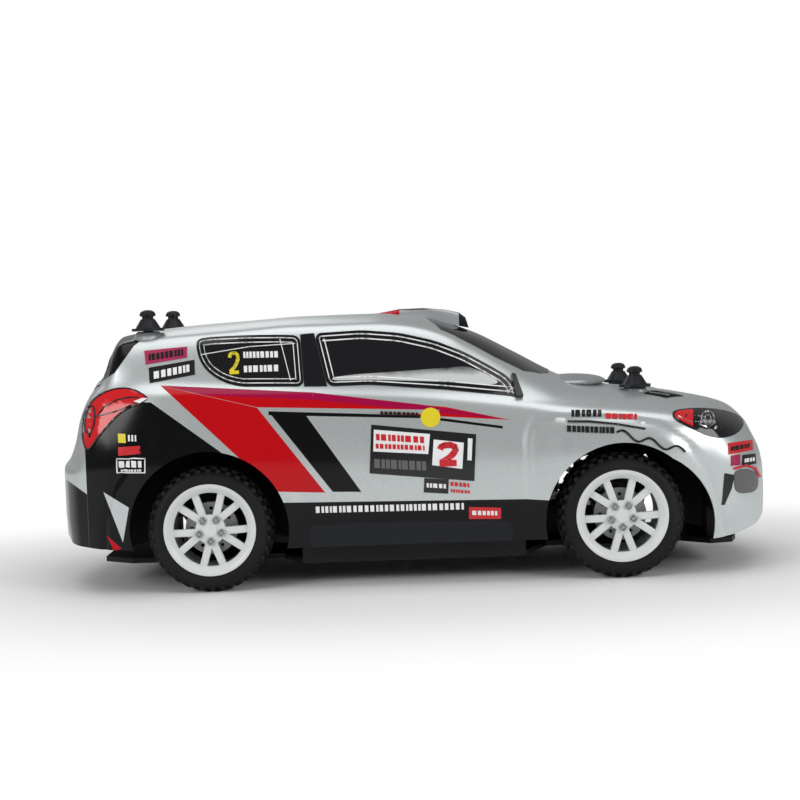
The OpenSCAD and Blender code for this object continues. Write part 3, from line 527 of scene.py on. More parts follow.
for tone, corners in LIVERY:
    mask = drawn_mask(nodes, links, u, w, corners)
    colour = blend_tones(nodes, links, mask, colour, tone)
    if tone == SILVER:
        bare = simple_math(nodes, links, "MAXIMUM", bare, mask)
        continue
    clear = simple_math(nodes, links, "SUBTRACT", 1.0, mask)
    bare = clear if bare is None else simple_math(nodes, links, "MULTIPLY", bare, clear)
links.new(colour, shader.inputs["Base Color"])
links.new(simple_math(nodes, links, "MULTIPLY", bare, 0.75), shader.inputs["Metallic"])
links.new(simple_math(nodes, links, "MULTIPLY_ADD", bare, 0.2, 0.14), shader.inputs["Roughness"])
shader.inputs["Specular IOR Level"].default_value = 0.28
relief(nodes, links, shader, cloudy(nodes, links, place, 90, 3), 0.12, 0.3)

SHELL_WALL = 1.2
GROOVE_DEPTH = 0.8
GROOVE_HALF = 1.7
FRONT_FLARE = [(43.2, 30), (43.2, 56), (45, 59.6), (49, 61.4), (60, 62), (80, 61.2), (93, 57.8), (103, 50.5),
               (109.5, 41), (114, 29), (116.5, 16)]
REAR_FLARE = [(-117.4, 16), (-116.8, 30), (-113.5, 42), (-107, 52), (-98, 59), (-86, 62.4)]
REAR_TRAIL = [(-46.5, 37), (-44.5, 30), (-42.5, 16)]


def groove_share(u, w, route):
    """1 on the route, falling smoothly to 0 at the groove's edge."""
    nearest = np.full(u.shape, 1e9)
    for (u0, w0), (u1, w1) in zip(route, route[1:]):
        du, dw = u1 - u0, w1 - w0
        t = np.clip(((u - u0) * du + (w - w0) * dw) / (du * du + dw * dw), 0, 1)
        nearest = np.minimum(nearest, np.hypot(u - u0 - t * du, w - w0 - t * dw))
    share = np.clip(1 - nearest / GROOVE_HALF, 0, 1)
    return share * share * (3 - 2 * share)


def dent_at(u, w):
    return np.maximum.reduce([groove_share(u, w, route) for route in (FRONT_FLARE, REAR_FLARE, REAR_TRAIL)])


END_STEPS = 7
ends = np.linspace(0.0, 1.0, END_STEPS + 1)[1:-1]
stations = np.concatenate([np.linspace(-141, -134, 15), np.linspace(-133.5, -112, 34),
                           np.arange(-110.7, 112, 1.3), np.linspace(113, 132, 26),
                           np.linspace(132.6, 141, 19)])
columns = [(-141.0, s) for s in np.concatenate([[0.02], ends])] + [(x, 1.0) for x in stations]
columns += [(141.0, s) for s in np.concatenate([ends[::-1], [0.02]])]
CUTS = 9
across = 2 * LAST_LINE * CUTS
bm = bmesh.new()
bmesh.ops.create_grid(bm, x_segments=len(columns) - 1, y_segments=across, size=0.5)
verts = list(bm.verts)
i = np.array([round((v.co.x + 0.5) * (len(columns) - 1)) for v in verts])
v_place = np.array([v.co.y * 2 * LAST_LINE for v in verts])
x = np.array([columns[k][0] for k in i])
shrink = np.array([columns[k][1] for k in i])
half, height = shell_at(x, np.clip(LAST_LINE - np.abs(v_place), 0, LAST_LINE))
base = shell_at(x, np.zeros(len(x)))[1]
side = np.where(v_place > 0, 1.0, -1.0)
r = EYE_BACK / (EYE_BACK - SIDE_PLANE - half)
u_at = EYE_X + (x - EYE_X) * r
w_at = EYE_Z + (height - EYE_Z) * r
dent = dent_at(u_at, w_at) * (half > 40)
y = side * (half * shrink - GROOVE_DEPTH * dent)
z = base + (height - base) * shrink
for v, a, b, c in zip(verts, x, y, z):
    v.co = (a * MM, b * MM, c * MM)
bmesh.ops.remove_doubles(bm, verts=bm.verts, dist=2e-5)
bmesh.ops.recalc_face_normals(bm, faces=bm.faces)
middle_face = max(bm.faces, key=lambda f: f.calc_center_median().z)
if middle_face.normal.z < 0:
    bmesh.ops.reverse_faces(bm, faces=bm.faces)
mesh = bpy.data.meshes.new("formed_shell")
bm.to_mesh(mesh)
bm.free()
# The wall's inner face takes a near-black finish as painted shade, so the inside of the shell reads dark
# through the arches rather than silver.
shell_inside_painted_shade = surface("shell_inside_painted_shade", (0.012, 0.012, 0.013), 0.75)
mesh.materials.append(paint)
mesh.materials.append(shell_inside_painted_shade)
shell = bpy.data.objects.new("formed_shell", mesh)
bpy.context.scene.collection.objects.link(shell)
wall = shell.modifiers.new("wall", "SOLIDIFY")
wall.thickness = SHELL_WALL * MM
wall.offset = -1
wall.use_even_offset = False
wall.material_offset = 1
ARCHES = [(-78, 24, 30), (78.5, 22.5, 29.5), (84, 19.5, 29)]
cutters = []
for x0, z0, radius in ARCHES:
    for s in (-1, 1):
        cut = bmesh.new()
        bmesh.ops.create_cone(cut, cap_ends=True, segments=128, radius1=radius * MM, radius2=radius * MM,
                              depth=30 * MM)
        turned(cut, cut.verts, math.pi / 2, "X")
        bmesh.ops.translate(cut, vec=(x0 * MM, s * 56 * MM, z0 * MM), verts=cut.verts)
        cut_mesh = bpy.data.meshes.new("arch_cut")
        cut.to_mesh(cut_mesh)
        cut.free()
        cutter = bpy.data.objects.new("arch_cut", cut_mesh)
        bpy.context.scene.collection.objects.link(cutter)
        cutters.append(cutter)
        trim = shell.modifiers.new("arch", "BOOLEAN")
        trim.operation = "DIFFERENCE"
        trim.solver = "EXACT"
        trim.object = cutter
bpy.context.view_layer.update()
finished = bpy.data.meshes.new_from_object(shell.evaluated_get(bpy.context.evaluated_depsgraph_get()))
shell.modifiers.clear()
shell.data = finished
for cutter in cutters:
    bpy.data.objects.remove(cutter)
for polygon in finished.polygons:
    polygon.use_smooth = True
finished.set_sharp_from_angle(angle=math.radians(38))
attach(shell, "shell")
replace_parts(shell, "body_shell")


# Inner arch guards: a guess at flat black plastic half rings, glued inside
# the shell behind each wheel, clear of the steered and sprung front tyres,
# put in as dark sheets of painted shade so each arch reads dark inside.
# The front pair dips lower over the tyre's crown.
# The same near-black finish serves the printed bonnet vents and the painted shade of these guards.
vent_print_and_painted_shade_black = surface("vent_print_and_painted_shade_black", (0.004, 0.004, 0.004), 0.8, shine=0.15)
GUARDS = {"front": (78, 25.9, 27.2, 23), "rear": (-78, 30.6, 22, 22)}
GUARD_OUT = 36
GUARD_THICK = 0.6
GUARD_START = math.radians(-14)
GUARD_SWEEP = math.radians(208)
CROWN_HALF = math.radians(35)
bm = bmesh.new()
for x0, y0, low_inner, top_inner in GUARDS.values():
    for s in (-1, 1):
        ring = bmesh.new()
        bmesh.ops.create_grid(ring, x_segments=1, y_segments=1, size=0.5)
        bmesh.ops.scale(ring, vec=((GUARD_OUT - low_inner) * MM, GUARD_THICK * MM, 1), verts=ring.verts)
        bmesh.ops.translate(ring, vec=((GUARD_OUT + low_inner) / 2 * MM, 0, 0), verts=ring.verts)
        turned(ring, ring.verts, -GUARD_START, "Y")
        bmesh.ops.spin(ring, geom=ring.faces[:], cent=(0, 0, 0), axis=(0, -1, 0), angle=GUARD_SWEEP, steps=52)
        for v in ring.verts:
            reach = math.hypot(v.co.x, v.co.z)
            if reach < (low_inner + 1) * MM and abs(math.atan2(v.co.x, v.co.z)) < CROWN_HALF:
                v.co.x *= top_inner * MM / reach
                v.co.z *= top_inner * MM / reach
        middle = (x0 * MM, s * (y0 + GUARD_THICK / 2) * MM, WHEEL_R * MM)
        bmesh.ops.translate(ring, vec=middle, verts=ring.verts)
        add_part(bm, ring)
new_piece("arch_painted_shade_guards", bm, vent_print_and_painted_shade_black, "shell")


# Glazing: printed stickers of gloss black pressed onto the outside of the
# shell, with thin white outlines, and a small pointed mirror at each door.
def ring_line(loop, inset, width):
    """Four-sided pieces of a thin line running inside a closed anticlockwise outline."""
    loop = np.array(loop, float)
    ahead = np.roll(loop, -1, 0) - loop
    ahead /= np.linalg.norm(ahead, axis=1)[:, None]
    into = np.stack([-ahead[:, 1], ahead[:, 0]], -1)
    if np.sum(loop[:, 0] * np.roll(loop[:, 1], -1) - np.roll(loop[:, 0], -1) * loop[:, 1]) < 0:
        into = -into
    corner = into + np.roll(into, 1, 0)
    corner /= np.maximum(0.6, np.sum(corner * into, 1))[:, None]
    outer, inner = loop + corner * inset, loop + corner * (inset + width)
    after = np.roll(np.arange(len(loop)), -1)
    return [[outer[a], outer[b], inner[b], inner[a]] for a, b in enumerate(after)]


def ribbon(route, width):
    """Four-sided pieces of a line of even width along an open route."""
    route = np.array(route, float)
    ahead = np.gradient(route, axis=0)
    ahead /= np.linalg.norm(ahead, axis=1)[:, None]
    away = np.stack([-ahead[:, 1], ahead[:, 0]], -1) * width / 2
    return [[route[k] - away[k], route[k + 1] - away[k + 1], route[k + 1] + away[k + 1], route[k] + away[k]]
            for k in range(len(route) - 1)]


def rounded(loop, times=2, reach=1.6):
    """Cuts the corners of a closed outline, no further back than the reach, until it reads as a curve."""
    loop = np.array(loop, float)
    for _ in range(times):
        step = np.roll(loop, -1, 0) - loop
        cut = np.minimum(0.25, reach / np.maximum(1e-6, np.linalg.norm(step, axis=1)))[:, None]
        loop = np.stack([loop + step * cut, loop + step * (1 - cut)], 1).reshape(-1, 2)
        reach *= 0.4
    return loop


def circle(u, w, radius, count):
    turns = [math.tau * k / count for k in range(count)]
    return [(u + radius * math.cos(t), w + radius * math.sin(t)) for t in turns]


def top_point(x, y):
    """Point of the shell straight above (x, y), for the bonnet, screens and roof."""
    x, y = np.asarray(x, float), np.asarray(y, float)
    low, high = np.full(x.shape, 3.0), np.full(x.shape, float(LAST_LINE))
    for _ in range(26):
        middle = (low + high) / 2
        wide = shell_at(x, middle)[0] > np.abs(y)
        low, high = np.where(wide, middle, low), np.where(wide, high, middle)
    return np.stack([x, y, shell_at(x, (low + high) / 2)[1]], -1)


def side_surface(u, w):
    place = side_point(u, w)
    place[:, 1] += GROOVE_DEPTH * dent_at(u, w)
    return place


FILM_FOLD = 2.5
FEEL = 0.3


def sticker(name, outlines, material, lift, left=None, surface_of=side_surface, thick=0.2):
    """Thin film on the shell; side films are made for the right side and mirrored to the left."""
    whole = bmesh.new()
    sides = [(outlines, 1), (left or outlines, -1)] if surface_of is side_surface else [(outlines, 1)]
    for shapes, mirror in sides:
        bm = bmesh.new()
        for outline in shapes:
            bm.faces.new([bm.verts.new((float(a), float(b), 0)) for a, b in outline])
        bmesh.ops.triangulate(bm, faces=bm.faces)
        for axis in (0, 1):
            reach = [v.co[axis] for v in bm.verts]
            across = Vector((0, 0, 0))
            across[axis] = 1
            for k in range(math.ceil(min(reach) / FILM_FOLD), math.floor(max(reach) / FILM_FOLD) + 1):
                bmesh.ops.bisect_plane(bm, geom=bm.verts[:] + bm.edges[:] + bm.faces[:],
                                       plane_co=across * FILM_FOLD * k, plane_no=across)
        bmesh.ops.recalc_face_normals(bm, faces=bm.faces)
        grown = bmesh.ops.extrude_face_region(bm, geom=bm.faces[:])["geom"]
        for v in grown:
            if isinstance(v, bmesh.types.BMVert):
                v.co.z = 1
        a = np.array([v.co.x for v in bm.verts])
        b = np.array([v.co.y for v in bm.verts])
        up = np.array([v.co.z for v in bm.verts])
        base = surface_of(a, b)
        out = np.cross(surface_of(a + FEEL, b) - surface_of(a - FEEL, b),
                       surface_of(a, b + FEEL) - surface_of(a, b - FEEL))
        out /= np.maximum(1e-9, np.linalg.norm(out, axis=1))[:, None]
        base += out * (lift - thick + thick * up)[:, None]
        for v, p in zip(bm.verts, base):
            v.co = (p[0] * MM, p[1] * mirror * MM, p[2] * MM)
        add_part(whole, bm)
    return new_piece(name, whole, material, "shell")


QUARTER = rounded([(-80, 92.8), (-78.9, 88.1), (-76.4, 84), (-71.2, 80.1), (-64.5, 77.9), (-48.5, 77.4),
                   (-40.3, 77.1), (-41.1, 96.2), (-47.8, 96.7), (-61.2, 97), (-74.6, 96.8),
                   (-79.6, 96.2)])
DOOR = rounded([(-35.7, 96.8), (-31.5, 76.8), (-15.5, 76.9), (12.6, 74.1), (37, 70.9), (39.6, 70.3),
                (38.6, 74.8), (36, 78.4), (29, 82.8), (20, 88), (9, 92.6), (-4, 95.9), (-18, 97.4)])
PILLAR = [(-41, 96.6), (-40.2, 77.1), (-31.6, 76.9), (-35.8, 96.9)]
gloss_tint = surface("gloss_tint", (0.004, 0.004, 0.006), 0.07, grain=60, bump=0.03)
print_white = surface("print_white", (0.85, 0.86, 0.86), 0.3, grain=700, bump=0.05)
trim_black = surface("trim_black", (0.01, 0.01, 0.012), 0.2, grain=500, bump=0.05)
sticker("side_glazing", [QUARTER, DOOR, PILLAR], gloss_tint, 0.22)
WHITE_LINES = [(QUARTER, 1.0, 0.32), (QUARTER, 2.6, 0.32), (DOOR, 1.2, 0.36), (DOOR, 2.9, 0.4)]
lines = [piece for loop, inset, width in WHITE_LINES for piece in ring_line(loop, inset, width)]
lines += ribbon([(-48.6, 95), (-45.2, 79.4)], 0.3) + ribbon([(-78.4, 90.2), (-60, 92.6), (-43, 93.2)], 0.25)
sticker("window_pinlines", lines, print_white, 0.5)
SCREEN = [(57, 0), (55.5, 14), (51, 26), (44, 35), (33, 36.2), (22, 35), (12, 33.4), (8.5, 22), (7.5, 8),
          (7.5, 0)]
SCREEN += [(x, -y) for x, y in SCREEN[-2:0:-1]]
REAR_SCREEN = [(-128.6, 0), (-127.6, 14), (-124.8, 25), (-121.5, 30), (-118.4, 30.5), (-118.8, 20),
               (-120.6, 0)]
REAR_SCREEN += [(x, -y) for x, y in REAR_SCREEN[-2:0:-1]]
sticker("windscreen", [SCREEN], gloss_tint, 0.22, surface_of=top_point)
sticker("rear_screen", [REAR_SCREEN], gloss_tint, 0.22, surface_of=top_point)
sticker("rear_screen_line", ring_line(REAR_SCREEN, 1.2, 0.3), print_white, 0.5, surface_of=top_point)
MIRROR = [(37.2, 78.6), (38.6, 78.3), (41.6, 70.2), (38.9, 70), (38.1, 74)]
sticker("door_mirrors", [MIRROR], trim_black, 1.5, thick=1.6)


# Lamps: printed red tail lights wrapping each rear corner, and almond head
# lights with a red rear third, a smoked front and a round chrome reflector.
TAIL = rounded([(-124.1, 61.6), (-124.1, 65.6), (-123.1, 69.6), (-121.3, 72.8), (-117.9, 76.1),
                (-113.4, 78.3), (-108.7, 79.1), (-104, 78.3), (-100.8, 76.5), (-98.6, 74.7),
                (-102.2, 72.5), (-106.3, 71.3), (-110.4, 68.8), (-114.6, 64.6), (-118.1, 60.7),
                (-120.5, 57.4), (-122.3, 55.8), (-123.5, 57.5)], 1)
TAIL_CELL = rounded([(-120.9, 72.8), (-119, 72.8), (-118.6, 69.4), (-119.3, 64.7), (-121.1, 61.4),
                     (-123, 62.9), (-123.2, 66.9), (-122.1, 70.9)], 1)
HOOK = [(-118.4, 68.6), (-111.7, 70), (-106.3, 71.9), (-102.6, 73.6), (-102.4, 75.1), (-106, 75.2),
        (-110.4, 74.5), (-115.4, 72), (-117.9, 68.8)]
HEAD = rounded([(97.3, 62.2), (98.6, 63.3), (103, 63.8), (108.7, 63.8), (115.6, 63), (120.7, 61.4),
                (123.5, 59.6), (124.1, 57.2), (123, 55), (120.4, 53.1), (115.8, 52.1), (110.6, 53.1),
                (105, 55.9), (99.3, 59), (97.7, 60.5)], 1)
HEAD_RED = [(98.2, 61.9), (99.5, 62.8), (102.4, 63.2), (105.2, 63.2), (105, 56.9), (101.6, 58.7), (99, 60.3)]
lamp_red = surface("lamp_red", (0.62, 0.008, 0.012), 0.12, grain=200, bump=0.04)
chrome = surface("chrome", (0.75, 0.76, 0.78), 0.12, metal=1.0, grain=300, bump=0.15)
sticker("tail_lamps", [TAIL], lamp_red, 0.24)
tail_lines = ring_line(TAIL, -0.1, 0.5) + ring_line(TAIL_CELL, 0, 0.5) + ribbon(HOOK, 0.5)
sticker("tail_lamp_lines", tail_lines, trim_black, 0.36)
TAIL_TIP = [(-104.2, 73.7), (-101.9, 72.9), (-98.9, 74.6), (-100.8, 74.8)]
sticker("tail_lamp_tips", [TAIL_TIP], print_white, 0.42)
sticker("head_lamps", [HEAD], gloss_tint, 0.24)
sticker("head_lamp_red", [HEAD_RED], lamp_red, 0.36)
REFLECTOR = circle(110.6, 59.9, 2.6, 20)
glints = ring_line(REFLECTOR, 0, 0.5) + ring_line(REFLECTOR, 1.3, 0.45)
glints += ribbon([(106.8, 60.8), (109, 60.2)], 0.4)
glints += ribbon([(107.2, 57.8), (110.6, 56.4), (113.4, 58)], 0.45)
glints += ribbon([(99.6, 61), (101.8, 59.6), (105, 58.4)], 0.25)
sticker("head_lamp_reflectors", glints, chrome, 0.44)


# Bonnet and roof: black vents with silver slats, raised bosses that carry the
# body caps, a low cowl bulge, and a closed domed scoop whose mouth and top are painted black as painted
# shade.
shell_trim = surface("shell_trim", (0.40, 0.42, 0.43), 0.28, metal=0.55, grain=1500, bump=0.1, mottle=0.2)
VENT = [(91, -31.5), (96, -21), (103, -20.5), (107.5, -26), (99, -35.5)]
vents = [VENT, [(x, -y) for x, y in reversed(VENT)]]
sticker("bonnet_vents", vents, vent_print_and_painted_shade_black, 0.22, surface_of=top_point)
slats = []
for s in (-1, 1):
    for shift in (2, 7):
        slats += ribbon([(91.8 + shift * 0.9, s * (30.5 - shift)),
                         (99.5 + shift * 0.8, s * (32.5 - shift))], 0.7)
sticker("vent_slats", slats, shell_trim, 0.6, surface_of=top_point, thick=0.5)
bm = bmesh.new()
BOSSES = [(89, 22, 71, 6), (89, -22, 71, 6), (-101.5, 33, 99.8, 3.4), (-101.5, -33, 99.8, 3.4)]
for x, y, top, height in BOSSES:
    made = bmesh.ops.create_cone(bm, cap_ends=True, segments=40, radius1=6.4 * MM, radius2=4.4 * MM,
                                 depth=height * MM)["verts"]
    bmesh.ops.translate(bm, vec=(x * MM, y * MM, (top - 0.15 - height / 2) * MM), verts=made)
    edges = {e for v in made for e in v.link_edges}
    rim = [e for e in edges if min(v.co.z for v in e.verts) > (top - 1) * MM]
    eased(bm, rim, 0.8, 3)
new_piece("cap_bosses", bm, shell_trim, "shell")
bm = bmesh.new()
bmesh.ops.create_uvsphere(bm, u_segments=40, v_segments=20, radius=MM)
bmesh.ops.scale(bm, vec=(14, 20, 2.9), verts=bm.verts)
bmesh.ops.translate(bm, vec=(66 * MM, 0, 73.3 * MM), verts=bm.verts)
new_piece("cowl_bulge", bm, shell_trim, "shell")
SCOOP_LINE = [(-14.5, 103.4), (-3.8, 105.1), (6, 105.2), (15, 104.3), (20.5, 103), (23.2, 100.9),
              (24.4, 96.6), (18, 98), (0, 102)]
bm = bmesh.new()
outline = bm.faces.new([bm.verts.new((x * MM, -9 * MM, z * MM)) for x, z in SCOOP_LINE])
grown = bmesh.ops.extrude_face_region(bm, geom=[outline])["geom"]
bmesh.ops.translate(bm, vec=(0, 18 * MM, 0), verts=[v for v in grown if isinstance(v, bmesh.types.BMVert)])
for v in bm.verts:
    v.co.y *= 0.55 + 0.45 * min(1, max(0, (v.co.x / MM + 14.5) / 18))
upper = [e for e in bm.edges if min(v.co.z for v in e.verts) > 96 * MM
         and abs(e.verts[0].co.y - e.verts[1].co.y) < 4 * MM
         and min(v.co.z - 0.1 * v.co.x for v in e.verts) > 94.5 * MM
         and not any(abs(v.co.x - 18 * MM) < MM or abs(v.co.x) < 0.5 * MM for v in e.verts)]
eased(bm, upper, 2.2, 4)
scoop_paint, nodes, links, shader = new_material("scoop_paint")
place = object_place(nodes)
split = nodes.new("ShaderNodeSeparateXYZ")
links.new(place, split.inputs["Vector"])
SCOOP_SILVER = (0.42, 0.44, 0.45)
SCOOP_PAINTED_SHADE = (0.01, 0.01, 0.012)
colour = blend_tones(nodes, links, cloudy(nodes, links, place, 1500), SCOOP_SILVER,
                     tuple(c * 1.25 for c in SCOOP_SILVER))
# The front face past x 20.5 mm is painted black as painted shade for an open mouth, and the top above z 104.6
# mm as painted shade along the crest; the rear stays printed red.
for axis, side_of, start, tone in (("X", "LESS_THAN", -3.5, (0.5, 0.01, 0.02)),
                                   ("X", "GREATER_THAN", 20.5, SCOOP_PAINTED_SHADE),
                                   ("Z", "GREATER_THAN", 104.6, SCOOP_PAINTED_SHADE)):
    mask = simple_math(nodes, links, side_of, split.outputs[axis], start * MM)
    colour = blend_tones(nodes, links, mask, colour, tone)
links.new(colour, shader.inputs["Base Color"])
shader.inputs["Metallic"].default_value = 0.3
shader.inputs["Roughness"].default_value = 0.25
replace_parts(new_piece("domed_scoop", bm, scoop_paint, "shell"), "roof_scoop")


# Decals: small vinyl prints on both sides. Every place that would carry
# lettering holds plain bars instead; the only figure is a plain number two.
print_red = surface("print_red", (0.6, 0.012, 0.02), 0.3, grain=700, bump=0.05)
print_crimson = surface("print_crimson", (0.38, 0.01, 0.08), 0.35, grain=700, bump=0.05)
print_yellow = surface("print_yellow", (0.75, 0.62, 0.02), 0.3, grain=700, bump=0.05)
print_grey = surface("print_grey", (0.12, 0.12, 0.125), 0.35, grain=700, bump=0.05)
chance = np.random.default_rng(7)


def bars(start, end, height, count, gap=0.3):
    """A row of plain upright bars of uneven width, from start to end."""
    start, end = np.array(start, float), np.array(end, float)
    share = chance.uniform(0.6, 1.4, count)
    stops = np.concatenate([[0], np.cumsum(share) / share.sum()])
    rise = np.array([0, height / 2])
    row = []
    for a, b in zip(stops[:-1], stops[1:]):
        p, q = start + (end - start) * a, start + (end - start) * (a + (b - a) * (1 - gap))
        row.append([p - rise, q - rise, q + rise, p + rise])
    return row


def figure_two(middle, half_wide, half_high, width):
    shape = [(-0.85, 0.55), (-0.7, 0.85), (-0.3, 1), (0.3, 1), (0.75, 0.8), (0.85, 0.45), (0.6, 0.05),
             (0, -0.5), (-0.8, -0.92)]
    route = [(middle[0] + a * half_wide, middle[1] + b * half_high) for a, b in shape]
    foot = [(middle[0] + half_wide * end, middle[1] - half_high) for end in (-0.95, 0.9)]
    return ribbon(route, width) + ribbon(foot, width)


PLATES_BLACK = [[(-15.6, 61.9), (23.6, 56.9), (22.4, 39.3), (-16.9, 43.6)],
                [(3.6, 41.1), (12.8, 40.3), (12.4, 34.9), (3.2, 35.7)],
                [(-98.1, 86.1), (-98, 80.4), (-80.9, 83), (-80.9, 88.5)],
                [(119.3, 40.5), (128.4, 42.2), (128.2, 46), (123.4, 45.6), (123, 41.2)],
                [(116.5, 39), (120.3, 38.2), (119, 33), (116.2, 27), (115.2, 27)]]
PLATES_WHITE = [[(-14.7, 60), (6.3, 57.6), (5.4, 50.1), (-15.2, 51.8)],
                [(7.6, 55.5), (18.9, 53.9), (18, 44.1), (6.7, 45.9)],
                [(20.5, 55.6), (22.2, 55.3), (21.6, 47.1), (20, 47.3)]]
PLATES_RED = [[(20.1, 29.6), (32.1, 28.9), (32, 24.7), (19.9, 25.1)],
              [(-110.9, 56.7), (-102.7, 57), (-102.7, 53.9), (-110.9, 53.5)],
              [(118, 50.2), (127.1, 51.2), (127.3, 47.4), (118.2, 45.9)]]
PLATE_CRIMSON = [(-99.5, 92.5), (-99.2, 87.4), (-83.6, 89.5), (-83.4, 93.5)]
DISC = circle(6.7, 63.8, 3.7, 24)
sticker("plates_black", PLATES_BLACK, trim_black, 0.24)
sticker("plates_white", PLATES_WHITE, print_white, 0.36)
sticker("plates_red", PLATES_RED, print_red, 0.24)
crimson = [PLATE_CRIMSON] + bars((119, 43.6), (122.8, 43.9), 4, 2, gap=0.15)
sticker("plates_crimson", crimson, print_crimson, 0.24)
PLATE_YELLOW = [(-110.7, 61.9), (-107.9, 61.6), (-107.9, 58.2), (-110.7, 58.4)]
sticker("plates_yellow", [DISC, PLATE_YELLOW], print_yellow, 0.26)
sticker("plates_grey", [rounded([(119.8, 40), (126, 40.6), (129.2, 37.5), (128.4, 31.5), (120.5, 31)], 2),
                        *bars((-15, 47.3), (4.8, 45.6), 3.4, 9, gap=0.2)], print_grey, 0.34)
white = bars((-62.5, 89.6), (-49, 89.4), 2.3, 9) + bars((-62.5, 84.3), (-49, 84.3), 2.4, 7)
white += bars((-96.3, 83.1), (-82.4, 85.5), 2.7, 7) + bars((-37.6, 30.6), (18.6, 30), 2.4, 30, gap=0.35)
white += ring_line([(-111.7, 52.6), (-111.9, 47), (-101, 46.6), (-100.8, 52.3)], 0, 0.4)
white += bars((-110.8, 50.3), (-101.8, 50), 2.4, 4) + bars((-110.4, 47.9), (-102.2, 47.7), 0.8, 8)
white += bars((-106.9, 60), (-103.4, 59.8), 2.4, 3, gap=0.5) + bars((4.4, 38.4), (12, 37.7), 1.6, 5)
white += bars((21.2, 27.4), (31, 26.9), 1.6, 6) + bars((124, 43.4), (128, 43.9), 1.4, 4)
sticker("bars_white", white, print_white, 0.42)
red = bars((-14, 57.2), (4.6, 55.4), 2.4, 9) + bars((-14.2, 53.8), (4.4, 52.4), 1.8, 12)
red += bars((72.5, 62), (84.4, 61.2), 2, 6, gap=0.2) + bars((13.4, 38.6), (20.8, 37.7), 1.5, 5)
red += bars((13.4, 36), (20.8, 35.2), 1.1, 7)
red += ribbon([(120, 40.6), (124.5, 41.6), (128, 40.4), (129.6, 37)], 0.9)
square = (12.8, 49.8)
sticker("bars_red", red + figure_two(square, 3.5, 3.4, 2.4), print_red, 0.46,
        left=red + figure_two(square, -3.5, 3.4, 2.4))
black = bars((59.6, 63.4), (71.3, 63), 2.5, 6, gap=0.25) + bars((57.8, 57.8), (76, 56.5), 2.3, 11, gap=0.25)
black += ribbon([(58.1, 60.5), (66, 60.2), (76, 59), (87.2, 56.7)], 0.6)
black += ribbon([(76.4 + t, 55.8 - 0.32 * t + 1.3 * math.sin(0.62 * t)) for t in np.arange(0, 26, 0.5)], 0.8)
black += bars((-97.9, 89.9), (-84.6, 91.5), 2.4, 9) + bars((119, 48), (126.4, 49.2), 1.6, 6)
black += bars((-12, 66), (2.4, 65), 1.6, 9)
sticker("bars_black", black, trim_black, 0.4)
quarter_two = (-66.1, 86.8)
sticker("figure_yellow", figure_two(quarter_two, 1.9, 3.6, 1.3), print_yellow, 0.42,
        left=figure_two(quarter_two, -1.9, 3.6, 1.3))
# Window reflection: a pale painted reflection low on the door glass, fading up into black along a cloudy
# edge.
PAINTED_REFLECTION_OUTLINE = rounded([(-30, 80), (-22, 80.9), (-1, 81.6), (21, 82.6), (28, 79.5), (33.6, 75.8), (28, 75.2),
                (18, 76.6), (8.6, 77.2), (-15.5, 78.8), (-29, 78.9)], 2)
window_painted_reflection, nodes, links, shader = new_material("window_painted_reflection")
place, u, w = side_drawing(nodes, links)
level = simple_math(nodes, links, "MULTIPLY_ADD", cloudy(nodes, links, place, 140), 3.0, w)
reflection_share = spread(nodes, links, level, 84.2, 81.0)
reflection_colour = blend_tones(nodes, links, reflection_share, (0.03, 0.03, 0.032), (0.62, 0.64, 0.64))
links.new(reflection_colour, shader.inputs["Base Color"])
shader.inputs["Roughness"].default_value = 0.15
sticker("window_painted_reflection", [PAINTED_REFLECTION_OUTLINE], window_painted_reflection, 0.3)


# Studio: a plain pale floor and backdrop with soft lamps; none of it is part
# of the car.
floor_bm = bmesh.new()
bmesh.ops.create_grid(floor_bm, x_segments=1, y_segments=1, size=4)
floor_mesh = bpy.data.meshes.new("floor")
floor_bm.to_mesh(floor_mesh)
floor_bm.free()
floor = bpy.data.objects.new("floor", floor_mesh)
bpy.context.scene.collection.objects.link(floor)
floor_white, nodes, links, shader = new_material("floor_white")
shader.inputs["Base Color"].default_value = (0.93, 0.93, 0.93, 1)
shader.inputs["Roughness"].default_value = 0.9
oval = nodes.new("ShaderNodeVectorMath")
oval.operation = "MULTIPLY"
oval.inputs[1].default_value = (1, 1.7, 1)
links.new(object_place(nodes), oval.inputs[0])
far = nodes.new("ShaderNodeVectorMath")
far.operation = "LENGTH"
links.new(oval.outputs["Vector"], far.inputs[0])
blend = nodes.new("ShaderNodeMapRange")
blend.interpolation_type = "SMOOTHSTEP"
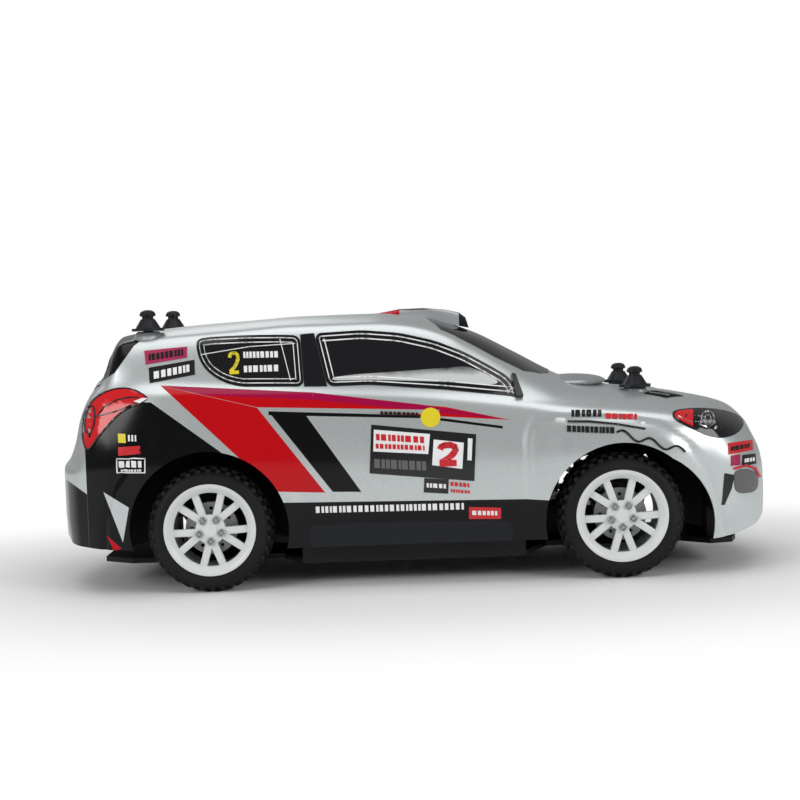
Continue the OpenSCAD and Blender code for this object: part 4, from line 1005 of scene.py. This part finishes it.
blend.inputs["From Min"].default_value = 0.14
blend.inputs["From Max"].default_value = 0.34
links.new(far.outputs["Value"], blend.inputs["Value"])
rays = nodes.new("ShaderNodeLightPath")
glow = nodes.new("ShaderNodeEmission")
glow.inputs["Color"].default_value = (1, 1, 1, 1)
both = nodes.new("ShaderNodeMixShader")
links.new(simple_math(nodes, links, "MULTIPLY", rays.outputs["Is Camera Ray"], blend.outputs["Result"]),
          both.inputs["Fac"])
links.new(shader.outputs["BSDF"], both.inputs[1])
links.new(glow.outputs["Emission"], both.inputs[2])
links.new(both.outputs["Shader"], nodes["Material Output"].inputs["Surface"])
floor_mesh.materials.append(floor_white)
floor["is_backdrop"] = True


def lamp(name, place, aim, size, power):
    data = bpy.data.lights.new(name, "AREA")
    data.shape = "RECTANGLE"
    data.size, data.size_y = size
    data.energy = power
    light = bpy.data.objects.new(name, data)
    bpy.context.scene.collection.objects.link(light)
    light.location = place
    light.rotation_euler = (Vector(aim) - Vector(place)).to_track_quat("-Z", "Y").to_euler()


lamp("top", (0.0, -0.1, 1.1), (0, 0, 0), (1.2, 0.8), 4)
lamp("nose_side", (1.0, -0.8, 0.6), (0, 0, 0.05), (0.7, 0.5), 6)
lamp("tail_side", (-1.0, -0.8, 0.6), (0, 0, 0.05), (0.7, 0.5), 6)
lamp("back_side", (-0.5, 1.0, 0.8), (0, 0, 0.05), (1.0, 0.6), 2)
world = bpy.data.worlds.new("studio")
bpy.context.scene.world = world
world.use_nodes = True
nodes, links = world.node_tree.nodes, world.node_tree.links
sky = nodes["Background"]
sky.inputs["Color"].default_value = (1, 1, 1, 1)
rays = nodes.new("ShaderNodeLightPath")
seen = simple_math(nodes, links, "MAXIMUM", rays.outputs["Is Camera Ray"],
                   rays.outputs["Is Transmission Ray"])
links.new(simple_math(nodes, links, "MULTIPLY_ADD", seen, 0.74, 0.26), sky.inputs["Strength"])
bpy.context.scene.view_settings.view_transform = "Standard"

corners = [[list(c) for c in cad_box], [list(c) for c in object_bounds()]]
